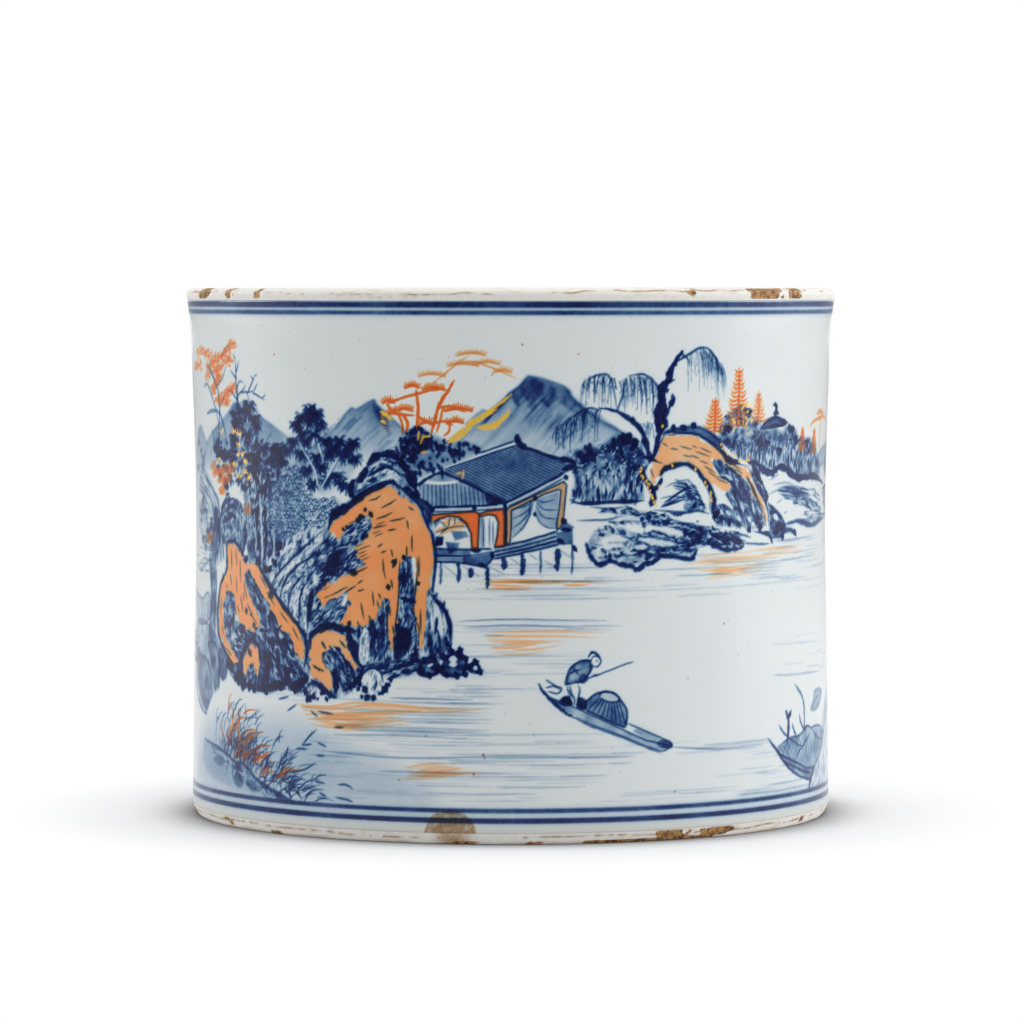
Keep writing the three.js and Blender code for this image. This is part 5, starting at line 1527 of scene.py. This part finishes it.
def reeds():
    # a bank of reeds at the lower left: blue blades with a few iron-red ones among them
    edge = [-112,23, -98,21, -90,18.5, -85,18, -77,13.5, -64,9.5]
    reserve(edge + [-61,12, -58,24, -62,36, -76,37.5, -98,38.5, -108,33], soft=1.2)
    # the foot of the bank and the water beside it lie in a blue haze
    tone([-118,12, -112,26, -90,30, -66,31, -44,24, -28,17, -24,11, -60,10.5], 0.17, soft=9, cloud=0.3,
        size=14)
    tone(edge + [-68,9.5, -100,12, -112,16], 0.16, soft=1.5)
    for outline, depth in (([-104,18, -100,19.5, -96,18, -99,16.5], 0.4), ([-91,14, -88,15, -85,13,
            -88,11.5], 0.5), ([-84,13, -81,14, -78,12, -81,11], 0.45), ([-90,17.5, -87.5,18, -86,16.5,
            -88.5,16], 0.8)):
        tone(outline, depth, soft=0.9)
    ink(edge, 1.1, 0.72, ends=(0.2, 0.1), soft=0.5)
    touches(scatter([-106,21, -98,20, -80,15, -68,10, -74,10, -86,13, -96,17], 60, 241), 2.6, 0.5, 0.6,
        turn=-0.3, seed=241, spread=0.7)
    draw = np.random.default_rng(242)
    shore = curved(edge, 6)
    for _ in range(400):
        foot = shore[draw.integers(6, len(shore))]
        u, v = foot + draw.uniform((-4, 0), (8, 15)) * (1, draw.uniform(0.05, 1))
        share = np.clip((u + 108) / 46, 0, 1)
        red = 0.2 < share < 0.9 and 15 < v < 32 and draw.random() < 0.15
        a = 1.8 - 1.1 * share + draw.normal(0, 0.42) - 0.3 * red
        r = draw.uniform(3, 6.5) + 1.5 * red
        if v > 37 - 16 * share ** 2:
            continue
        tip = (u + r * np.cos(a) + 0.8, v + r * np.sin(a) * 0.7)
        bend = ((u + tip[0]) / 2 - 0.5, (v + tip[1]) / 2 + draw.uniform(0.2, 0.7))
        stroke("ironRed" if red else "cobalt", [(u, v), bend, tip], 0.4,
            draw.uniform(0.4, 0.85) + 0.15 * red, ends=(0.1, 0.6), soft=0.25)
    inks(([-63,36, -66.5,34], [-58,34.5, -55.5,33], [-55.5,34.5, -50.5,34], [-56,29.5, -58.5,27.5, -61,25],
        [-61,25, -57.5,25.5], [-63,24, -59,24], [-55.5,26, -52.5,25], [-56,22.5, -53,22.5],
        [-66,24.5, -67,21.5], [-66,17, -60,18.5, -56,20.5], [-56.5,15.5, -53,15], [-49,15, -46,15, -44,14],
        [-49.5,11.5, -46,11, -44,10.5], [-55,12.5, -52.5,11.5], [-67,12.5, -64.5,10.5], [-63,12.5, -61,10.5],
        [-66,38, -70,37], [-50,30.5, -47,30.5]), 0.6, 0.74)


def stains():
    # what the kiln and the years left: one brown burn across the lowest line, rust specks, dark pinholes
    blot = [-22.5,2.5, -22.5,5, -20.5,8, -16.5,9, -12.5,8, -10,5.5, -10,2.5, -16,1]
    wash("stain", blot, 0.27, rim=0.08, soft=0.6, cloud=0.6, size=0.7)
    wash("stain", [-21,2, -20,5, -16.5,6, -12.5,5, -11.5,2, -16,0], 0.12, soft=0.9, cloud=0.9, size=1.5)
    draw = np.random.default_rng(251)
    for u, v, r in ((-7, 23.4, 0.5), (-7.4, 24.2, 0.3), (-10, 19, 0.35), (46, 13.2, 0.5), (-23, 29, 0.3),
            (-30.5, 17, 0.3), (18, 131.5, 0.35), (-71, 131, 0.3), (3, 134, 0.2), (63, 58, 0.2),
            (-5, 126, 0.2)):
        stroke("stain", [(u, v), (u + 0.2, v)], 2 * r, 0.8, soft=0.4)
    for u, v in draw.uniform((-141, 10), (424, 144), (900, 2)):
        stroke("stain", [(u, v), (u + 0.05, v)], draw.uniform(0.2, 0.42), draw.uniform(0.12, 0.55))


def islet(left, right, v, seed):
    # a low bank in the water: pale top, broken strokes and a dark wet edge
    wide = right - left
    brokenStone([(left, v), (left + 0.3 * wide, v + 1.4), (left + 0.7 * wide, v + 1), (right, v - 1),
        (right - 0.15 * wide, v - 5.6), (left + 0.5 * wide, v - 8), (left + 0.12 * wide, v - 6)], -0.15,
        round(2.6 * wide), seed, 0.16, 3.4, 0.5, dark=0.7)
    inks(([(left - 2, v - 6.4), (left + 0.2 * wide, v - 7.4), (left + 0.5 * wide, v - 8.4),
        (left + 0.75 * wide, v - 7.2), (right + 3, v - 2.6)], [(left - 1, v + 0.4),
        (left + 0.3 * wide, v + 1.8), (left + 0.6 * wide, v + 1.4), (right, v + 0.6)]), 1.5, 0.85)


def backOfPot():
    # the side away from the viewer: a wooded islet, a second landing the other way round, open water
    hill([134,97, 140,104, 146,109, 152,113, 158,111, 166,107, 174,97], 97, 0.3, 0.2, 301, 20)
    hill([190,98, 200,107, 207,111.5, 214,118, 219,122.5, 223,121, 230,116.5, 240,112, 256,98], 98, 0.38,
        0.3, 302, 44)
    hill([240,98, 248,109, 256,115, 262,117.5, 268,113, 284,98], 98, 0.32, 0.24, 303, 26)
    hill([322,96, 344,110, 352,116, 358,120, 364,117, 376,110, 396,96], 96, 0.38, 0.26, 304, 36)
    hill([384,97, 392,107, 400,111, 408,112.5, 420,107, 434,97], 97, 0.3, 0.18, 305, 18)
    for k, row in enumerate(((126, 190, 66, 80, 70), (136, 200, 44, 62, 50), (150, 236, 14, 40, 110),
            (230, 330, 12, 34, 120), (262, 330, 44, 70, 90), (330, 420, 11, 26, 80), (330, 366, 40, 66, 50),
            (366, 424, 46, 66, 80), (246, 270, 60, 76, 24))):
        ripples(*row, 0.33, 0, 18, 310 + k)
    glow(([140,58, 152,58.5, 168,57.5], [146,56, 160,56.5], [150,30, 164,30.5, 178,30],
        [270,52, 284,52.5, 300,52]), 1.2, 0.4, 321)
    glow(([276,50, 292,50.5], [262,24, 278,25, 290,24], [350,20, 366,20.5, 380,20],
        [376,56, 390,56.5, 404,56]), 1.2, 0.4, 322)
    islet(124, 174, 92, 332)
    discs([126,97, 128,103, 136,106, 156,104, 172,97, 144,95], 150, 1.4, 0.92, 331)
    for u in (134, 151, 163):
        conifer(u, 103, 112 + u % 4, 3, 11, u)
    islet(342, 404, 76, 333)
    again(leftTrees, 452, 0, 0.95)
    # the landing with its house, rocks and trees, as on the front but turned round
    for motif in (willows, archRock, rightBank):
        again(motif, 330, 3, 0.92, -1)
    again(redPines, 236, 4, 0.9, -1)
    again(ridgeBushes, 222, 4, 0.95, -1)
    again(pavilion, 222, 2, 0.9, -1)
    again(leftRock, 150, -3, 0.9, -1)
    again(smallRock, 150, -2, 0.86, -1)
    again(sampan, 300, -8, 1.0, -1)
    for motif in (bigRock, rockCap, smallRock):
        again(motif, 352, -2, 0.98)
    again(rightBank, 350, -22, 0.8)
    again(reeds, 455, 0, 0.95)


def roundLeaves():
    netting([-72,95, -66,92, -61,93.5, -55,92, -50,92.5, -48,89, -52,84, -56,79, -64,75, -70,76, -73,84])
    netting([-68.5,99, -64,101, -60.4,98.4, -61,94.6, -66,93, -69.4,95], 0.85, 5, (1.2, 0.9))


def paintAll():
    # from the far hills to the near bank, since each motif covers what lies behind it
    for motif in (backOfPot, farHills, redPines, redConifers, willows, leftSlopes, blueTree, leftTrees,
            centralTree, roundLeaves, ridgeFoliage, blossoms, water, pavilion, rockFlank, bigRock,
            waterBoulders, rockCap, leftRock, smallRock, rightBank, archRock, sampan, nearBoat, reeds,
            gilding, banding, stains, fire):
        motif()


# the pot itself: heights and radii in mm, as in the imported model
pot = {"height": 149, "lipBand": 145.8, "lipThickness": 6.6, "footThickness": 8.2, "lipRoll": 1.9,
    "bevelDepth": 1.5, "ringWidth": 11, "footRadius": 90.7, "floor": 10.4, "coat": 0.4}
outlineLevels = ((3, 90.7), (40, 90.2), (88, 89.5), (134, 90.9), (145.8, 92))


def outerRadius(height):
    # radius of the glazed wall at a height: one smooth curve through the five measured levels
    v, r = curved(outlineLevels, 60).T
    return np.interp(height, v, r)


def boreRadius(height):
    thickness = pot["footThickness"] + (pot["lipThickness"] - pot["footThickness"]) * height / pot["height"]
    return outerRadius(height) - thickness


def ledgeRadius():
    # where the foot ring ends inside and the base slab begins
    return pot["footRadius"] - pot["bevelDepth"] - pot["ringWidth"]


def gridOf(count, rows):
    # u and the row's number at each point of a turned surface
    return np.meshgrid(np.linspace(0, girth, count, endpoint=False), np.arange(rows))


def turned(name, radii, heights, count, shift=None, **grid):
    # a profile in mm carried round the axis; shift(u, k) pushes the surface out and up by mm
    u, k = gridOf(count, len(radii))
    around = u / (girth / (2 * np.pi))
    r, z = np.asarray(radii, float)[k], np.asarray(heights, float)[k]
    if shift is not None:
        move = shift(u, k)
        r, z = r + move[0], z + move[1]
    return gridObject(name, r * np.sin(around) * mm, -r * np.cos(around) * mm, z * mm, wrap=True, **grid)


def glazedPanel(name, zone, left, right):
    # one upright strip of the glazed wall: r(v) carried from u = left to right, its ends turned in
    keep = slice(*np.searchsorted(zone.u, (left - zone.step / 2, right + zone.step / 2)))
    u, v = np.meshgrid(zone.u[keep], zone.v)
    r = outerRadius(v)
    # two rows more at each edge turn it in: how far they sink and how far they stand out, in mm
    sink, out = np.array([[0.42, 0.12], [0.28, 0.2]])[..., None]
    r = np.vstack([r[0] - sink, r, r[-1] - sink[::-1]])
    z = np.vstack([v[0] - out, v, v[-1] + out[::-1]])
    around = np.vstack([u[:2], u, u[:2]]) / (girth / (2 * np.pi))
    piece = gridObject(name, r * np.sin(around) * mm, -r * np.cos(around) * mm, z * mm)
    for p in pigments:
        setAttribute(piece, p, np.pad(zone.layer[p][:, keep], ((2, 2), (0, 0)), mode="edge"))
    # its own map fills the square, u across and v up
    across = (around - around[0, 0]) / (around[0, -1] - around[0, 0])
    up = (z - z.min()) / (z.max() - z.min())
    setMap(piece, across * 0.98 + 0.01, up * 0.98 + 0.01)
    return piece


def setMap(piece, across, up):
    corners = np.empty(len(piece.data.loops), np.int32)
    piece.data.loops.foreach_get("vertex_index", corners)
    flat = np.stack([across.ravel(), up.ravel()], -1)[corners]
    piece.data.uv_layers.new(name="OFBake").data.foreach_set("uv", flat.astype(np.float32).ravel())


# the painted glaze. A ramp takes the cobalt from bare glaze through pale wash to a black-blue line; orange,
# iron red and burns lie over it as coats, and the gilt on top
glazeLook = {"white": (227, 233, 233), "clouds": 0.04, "gloss": 0.1, "peel": 0.05,
    "thinFoot": (0.0034, 0.0062), "thinLip": (0.1447, 0.1455), "orange": (1.15, 0.385, 0.12),
    "cream": (234, 228, 218), "ironRed": (0.97, 0.17, 0.015), "redBody": (214, 84, 18),
    "gilt": (255, 210, 66), "rust": (0.2, 0.055, 0.013)}
cobaltTones = ((0, glazeLook["white"]), (0.12, (191, 207, 218)), (0.3, (150, 176, 197)),
    (0.5, (94, 133, 168)), (0.7, (46, 82, 133)), (0.85, (20, 40, 101)), (1, (6, 11, 56)))


def paintedGlaze():
    recipe = Recipe("paintedGlaze")
    fine = recipe.noise(0.0011, 4, 0.6)
    broad = recipe.noise(0.018)
    # cobalt pools and thins a little within each touch
    cobalt = recipe.attribute("cobalt")
    cobalt = (cobalt * (0.86 + 0.28 * fine)).clamped()
    colour = recipe.add("ValToRGB", {"stops": [(x, tint(*c)) for x, c in cobaltTones]}, {0: cobalt})
    shade = 1 - glazeLook["clouds"] * broad
    grey = recipe.add("CombineColor", {}, {0: shade, 1: shade, 2: shade})
    colour = recipe.mix(1.0, colour, grey, "MULTIPLY")
    # towards the bare foot and lip the glaze thins and warms
    height = recipe.add("SeparateXYZ", {}, {0: recipe.add("TexCoord", output=3)}, 2)
    thin = 1 - height.above(*glazeLook["thinFoot"]) + height.above(*glazeLook["thinLip"])
    colour = recipe.mix(thin * 0.75, colour, recipe.mix(1.0, colour, tint(*glazeLook["cream"]), "MULTIPLY"))
    orange = recipe.attribute("orange") * (0.9 + 0.2 * broad)
    colour = recipe.coated(colour, glazeLook["orange"], orange)
    # iron red lies thin too, but a little of it stays on top and shows on blue
    ironRed = recipe.attribute("ironRed") * (1 + 0.3 * fine)
    thinRed = recipe.coated(colour, glazeLook["ironRed"], ironRed)
    colour = recipe.mix((ironRed * 0.4).clamped(), thinRed, tint(*glazeLook["redBody"]))
    gilt = recipe.attribute("gilt") * recipe.noise(0.0006, 2).above(0.22, 0.4)
    colour = recipe.mix(gilt.clamped(), colour, tint(*glazeLook["gilt"]))
    stain = recipe.attribute("stain")
    colour = recipe.coated(colour, glazeLook["rust"], stain)
    rough = glazeLook["gloss"] + 0.06 * broad + 0.18 * orange + 0.3 * ironRed + 0.2 * gilt + 0.3 * stain
    raised = orange * 0.4 + ironRed * 0.6 + gilt * 0.8
    skin = recipe.bump(recipe.noise(0.0045, 2), glazeLook["peel"], 0.0006)
    normal = recipe.bump(raised, 0.3, 0.00006, skin)
    return recipe.surface({"Base Color": colour, "Roughness": rough, "Metallic": gilt * 0.25,
        "Normal": normal, "IOR": 1.5})


# bare porcelain: cream, matt, with tea-brown grime in its worn places and darker chips
bareLook = {"cream": (238, 236, 230), "shade": (228, 224, 216), "grime": (162, 124, 70),
    "chip": (188, 142, 84), "chipDark": (98, 68, 38), "rough": 0.6}


def barePorcelain():
    recipe = Recipe("barePorcelain")
    grain = recipe.noise(0.0009, 4, 0.65)
    colour = recipe.mix(grain.above(0.3, 0.9), tint(*bareLook["cream"]), tint(*bareLook["shade"]))
    wear = recipe.attribute("wear")
    colour = recipe.mix((wear * (0.55 + 0.9 * grain)).clamped(), colour, tint(*bareLook["grime"]))
    chip = recipe.attribute("chip")
    # a chip is ochre, dark where the grime caught in it and along its edge
    patches = recipe.noise(0.0014).above(0.42, 0.6)
    body = recipe.mix(patches, tint(*bareLook["chip"]), tint(*bareLook["chipDark"]))
    colour = recipe.mix(chip.above(0.15, 0.45), colour, body)
    normal = recipe.bump(grain, 0.35, 0.0003)
    rough = bareLook["rough"] + 0.2 * grain
    return recipe.surface({"Base Color": colour, "Roughness": rough, "Normal": normal})


def plainGlaze(name, white, dustTone):
    # the lining and the base glaze: the same clear glaze over white, with dust where it lies
    recipe = Recipe(name)
    broad = recipe.noise(0.02)
    pits = recipe.noise(0.0016, 2).above(0.74, 0.8)
    colour = recipe.mix(broad * 0.3, tint(*white), tint(*[c - 12 for c in white]))
    dust = recipe.attribute("dust")
    colour = recipe.mix((dust * (0.5 + broad)).clamped(), colour, tint(*dustTone))
    colour = recipe.mix(pits * 0.6, colour, tint(120, 104, 84))
    normal = recipe.bump(recipe.noise(0.006, 2), 0.05, 0.0006)
    return recipe.surface({"Base Color": colour, "Roughness": 0.13 + 0.35 * dust + 0.05 * broad,
        "Normal": normal, "IOR": 1.5})


def finished(piece, material, slot, *nodes):
    piece.data.materials.append(material)
    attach(piece, "root")
    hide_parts(*nodes)


# the bare body: lip, foot and what the glaze hides; a chip runs from u to u and is so deep
lip = {
    "chips": ((71, 86, 1), (88.5, 97, 1), (50, 51.5, 0.8), (-93, -88, 0.9), (-112, -103, 1),
        (-78, -76, 0.7), (190, 204, 1), (260, 266, 0.8)),
    "chipDepth": 0.2}
foot = {
    "chips": ((39, 50, 1), (56, 66.5, 1), (-96, -91, 0.8), (98, 102, 0.8), (150, 168, 1),
        (300, 312, 0.9), (372, 380, 0.8)),
    "edge": ((18, 60, 1), (-17, -8, 0.8), (2, 8, 0.6), (-74, -70, 0.6), (160, 190, 1)),
    "chipDepth": 0.26, "burnAt": -15.5, "burnHalf": 4.6}
segments = {"body": 900, "lining": 480, "base": 360}


def chipShare(u, chips, across, seed):
    # how much of a chip lies at u: 1 inside its span with a ragged outline, 0 outside
    share = np.zeros(u.shape)
    for left, right, depth in chips:
        for turn in (0, girth, -girth):
            x = u - turn
            ragged = np.minimum(x - left, right - x) / 2.2
            for size, reach in ((1.9, 2.2), (0.8, 1.2)):
                ragged = ragged + reach * (mottle(x, across, size, seed) - 0.5)
            share = np.maximum(share, depth * ragged.clip(0, 1))
    return share


def bodyProfile():
    # once round the section, in mm: foot ring, side under the glaze, rolled lip, bore and back to the ledge
    ledge, rim = ledgeRadius(), pot["footRadius"] - pot["bevelDepth"]
    top, half = pot["height"] - pot["lipRoll"], pot["lipThickness"] / 2
    middle = outerRadius(pot["lipBand"]) - half
    ring = [(ledge, 0.35), (ledge + 0.35, 0)] + [(r, 0) for r in np.linspace(ledge + 1.2, rim - 0.7, 12)]
    bevel = [(rim - 0.2, 0.06), (rim + 0.1, 0.3)]
    bevel += [(rim + 0.35 + 1.1 * s, 0.7 + 2.3 * s) for s in np.linspace(0, 1, 9)]
    covered = [(outerRadius(v) - 0.5, v) for v in np.linspace(3.1, 145.3, 24)]
    rise = ((145.45, 0), (145.6, 0.3), (145.75, 0.75), (145.9, 0.95))
    band = [(outerRadius(v) - 0.45 + 0.45 * s, v) for v, s in rise]
    turns = np.linspace(-0.2, np.pi, 30)
    roll = [(middle + half * np.cos(a), top + pot["lipRoll"] * np.sin(a)) for a in turns]
    inner = [(boreRadius(v), v) for v in np.linspace(145.8, 3, 20)]
    return np.array(ring + bevel + covered + band + roll + inner + [(ledge, 3)])


def lipGrime(u, s, v, outside):
    # a broken brown thread that wanders round the lip, and fainter smears
    height = 148.0 + 0.9 * (ringMottle(u, 31, 411) - 0.5) + 0.7 * (ringMottle(u, 4, 416) - 0.5)
    broken = ringMottle(u, 8, 406) * 1.7 + 1.5 * ringMottle(u, 1.6, 407) - 1.35
    thread = np.exp(-((v - height) / 0.2) ** 2) * broken.clip(0, 1) * outside
    smear = roundMottle(u, s * 6, 9, 412) + 0.7 * roundMottle(u, s * 3.5, 1.4, 413) - 1.16
    return np.maximum(thread, smear.clip(0, 1) * 0.9)


def footGrime(u, s, v):
    # a ragged brown line where the glaze ends, a dirty edge under it, smudges between the two
    wander = 0.8 * (ringMottle(u, 9, 408) - 0.5)
    broken = ringMottle(u, 1.3, 409) * 1.7 + ringMottle(u, 13, 414) - 0.85
    line = np.exp(-((v - 1.9 + wander) / 0.28) ** 2) * broken.clip(0, 1)
    under = np.exp(-((v - 0.45) / 0.3) ** 2) * 0.7 * (ringMottle(u, 5, 415) - 0.2).clip(0, 1)
    smudge = (roundMottle(u, s, 3.4, 410) - 0.75).clip(0, 1)
    # below the kiln stain of the wall the foot is brown too
    aside = (u - foot["burnAt"] + girth / 2) % girth - girth / 2
    burn = np.exp(-((aside / foot["burnHalf"]) ** 4)) * (0.45 + 0.4 * roundMottle(u, s, 1.6, 417))
    return np.maximum.reduce([line, under, smudge, burn])


def makeBody():
    profile = bodyProfile()
    out, high = profile.T
    reach = np.concatenate([[0], np.cumsum(np.hypot(*np.diff(profile, axis=0).T))])
    aloft, afoot = high > 145.9, (high < 3.2) & (out > ledgeRadius() - 0.1)

    def chipped(u, k):
        # how much of a chip there is on the lip and on the foot; the foot's worn edge runs on further
        s = reach[k]
        lipChip = chipShare(u, lip["chips"], s, 401) * aloft[k] * (out[k] > 88)
        footChip = chipShare(u, foot["chips"], s, 402) * np.exp(-((high[k] - 1.7) / 1.1) ** 4)
        worn = chipShare(u, foot["edge"], s, 405) * (high[k] < 0.75)
        return lipChip, np.maximum(footChip, worn) * afoot[k] * (out[k] > 87.5)

    def shift(u, k):
        lipChip, footChip = chipped(u, k)
        inward = lip["chipDepth"] * lipChip * (0.6 + 0.8 * roundMottle(u, reach[k], 1.1, 403))
        inward = inward + foot["chipDepth"] * footChip * (0.5 + roundMottle(u, reach[k], 1.3, 404))
        return -inward, -0.5 * inward * aloft[k]

    body = turned("pot_body", out, high, segments["body"], shift, closedRows=True)
    u, k = gridOf(segments["body"], len(profile))
    s, v = reach[k], high[k]
    onFoot = np.where(afoot[k], footGrime(u, s, v), 0)
    grime = np.where(aloft[k], lipGrime(u, s, v, out[k] > 88), onFoot)
    setAttribute(body, "wear", grime.clip(0, 1))
    setAttribute(body, "chip", np.maximum(*chipped(u, k)).clip(0, 1))
    finished(body, barePorcelain(), "porcelain_body", "wall")
    print("body turned")


# the lining: the bore with faint throwing rings, a soft corner and a floor with a shallow spiral
lining = {"rings": 0.12, "ringPitch": 7.5, "swirlPitch": 9, "corner": 4.0, "white": (224, 229, 230),
    "dust": (168, 160, 148)}


def faded(x, low, high):
    # 1 between low and high, falling to 0 over 8 mm inside each end
    return ((x - low) / 8).clip(0, 1) * ((high - x) / 8).clip(0, 1)


def discMottle(u, r, size, seed):
    # noise on a flat disc, read at its x and y so that it has no seam
    turn = u / girth * 2 * np.pi
    return mottle(r * np.cos(turn), r * np.sin(turn), size, seed)


def makeLining():
    skin = pot["coat"] + 0.1                   # the lining stands just in front of the bore
    low, bend = pot["floor"], lining["corner"]
    bore = boreRadius(low + bend) - skin
    hem = [(boreRadius(146.1) + 0.1, 146.1), (boreRadius(145.95) - 0.25, 146.0)]
    wallLine = [(boreRadius(v) - skin, v) for v in np.linspace(pot["lipBand"], low + bend, 120)]
    turns = np.linspace(0.12, np.pi / 2, 12)
    cornerLine = [(bore - bend * (1 - np.cos(a)), low + bend * (1 - np.sin(a))) for a in turns]
    floorLine = [(r, low) for r in np.linspace(bore - bend - 1.5, 0.6, 60)]
    profile = np.array(hem + wallLine + cornerLine + floorLine)

    def shift(u, k):
        r, v = profile[k, 0], profile[k, 1]
        turn = u / girth * 2 * np.pi
        wave = np.sin(2 * np.pi * v / lining["ringPitch"] + turn) * faded(v, 16, 140)
        onFloor = (v < low + 0.01) & (r < 70)
        swirl = np.sin(2 * np.pi * r / lining["swirlPitch"] - turn) * onFloor * faded(r, 2, 70)
        inward = -lining["rings"] * (1 + wave) / 2 * (v > low + 5)
        return inward, lining["rings"] * 0.5 * (1 + swirl) * onFloor

    piece = turned("pot_lining", profile[:, 0], profile[:, 1], segments["lining"], shift, caps=(False, True))
    u, k = gridOf(segments["lining"], len(profile))
    r, v = profile[k, 0], profile[k, 1]
    # dust: thick in the corner, patchy on the floor, faint rings up the wall
    corner = np.exp(-((v - low - 1) / 5) ** 2) * np.exp(-((r - 76) / 7) ** 2)
    settled = (v < low + 0.1) * (0.15 + 0.4 * (discMottle(u, r, 9, 421) - 0.35).clip(0, 1))
    rings = (v > low + 4) * (roundMottle(u, v * 6, 18, 422) - 0.72).clip(0, 1) * 0.8
    setAttribute(piece, "dust", (corner * 0.6 + settled + rings).clip(0, 1))
    glaze = plainGlaze("liningGlaze", lining["white"], lining["dust"])
    finished(piece, glaze, "lining_glaze", "inner_glaze")
    print("lining turned")


# the underside: the bare rim of the base slab and the glazed disc in the middle of it
base = {"white": (222, 227, 228), "dust": (150, 132, 108), "swell": 0.16, "ripplePitch": 11}


def makeBase():
    ledge = ledgeRadius()
    edge = ledge - 2
    radii = np.concatenate([np.linspace(0.6, edge - 0.5, 70), [edge - 0.2, edge - 0.05, edge]])
    heights = np.concatenate([np.full(70, 2.62), [2.66, 2.78, 2.98]])

    def shift(u, k):
        r = radii[k]
        ripple = np.sin(2 * np.pi * r / base["ripplePitch"] - u / girth * 2 * np.pi) * faded(r, 2, edge - 2)
        return ripple * 0, base["swell"] * 0.5 * ripple

    disc = turned("base_glaze_disc", radii, heights, segments["base"], shift, caps=(True, False))
    u, k = gridOf(segments["base"], len(radii))
    dust = 0.5 * np.exp(-((radii[k] - edge) / 2.5) ** 2)
    patches = (discMottle(u, radii[k], 8, 431) - 0.6).clip(0, 1) * 0.5
    setAttribute(disc, "dust", (dust + patches).clip(0, 1))
    glaze = plainGlaze("baseGlaze", base["white"], base["dust"])
    finished(disc, glaze, "base_glaze_finish", "base_glaze")

    line = [(0.6, 3.0)] + [(r, 3.0) for r in np.linspace(edge - 3, ledge + 2.9, 14)]
    line += [(ledge + 3.3, 3.2), (ledge + 3.4, 9.8), (ledge + 3.2, 10.0)]
    line = np.array(line + [(60, 10.0), (20, 10.0), (0.6, 10.0)])
    slab = turned("base_slab_disc", line[:, 0], line[:, 1], segments["base"], caps=(True, True))
    u, k = gridOf(segments["base"], len(line))
    setAttribute(slab, "wear", (0.25 + roundMottle(u, line[k, 0], 4, 441) * 0.5) * (line[k, 1] < 3.1))
    setAttribute(slab, "chip", u * 0)
    finished(slab, barePorcelain(), "slab_body", "base_slab")
    print("base turned")


# the painted wall: six fine panels in front, four broader ones behind, all of one skin; each side is given
# by its left and right end, the step between its points and how many panels it has
wall = {"front": (-141.372, 141.372, 0.2805, 6), "back": (141.372, 424.116, 0.42, 4), "low": 3.3,
    "high": 145.5}


def makeWall():
    for side in ("front", "back"):
        left, right, step, _ = wall[side]
        zones.append(Zone(left, right, wall["low"], wall["high"], step))
    paintAll()
    print("wall painted")
    glaze = paintedGlaze()
    for zone, side in zip(zones, ("front", "back")):
        count = wall[side][-1]
        marks = zone.u[np.linspace(0, len(zone.u) - 1, count + 1).round().astype(int)]
        for k in range(count):
            piece = glazedPanel(f"glaze_{side}_{k + 1}", zone, marks[k], marks[k + 1])
            finished(piece, glaze, "painted_glaze", "outer_glaze")
    print("panels glazed")


makeBody()
makeLining()
makeBase()
makeWall()
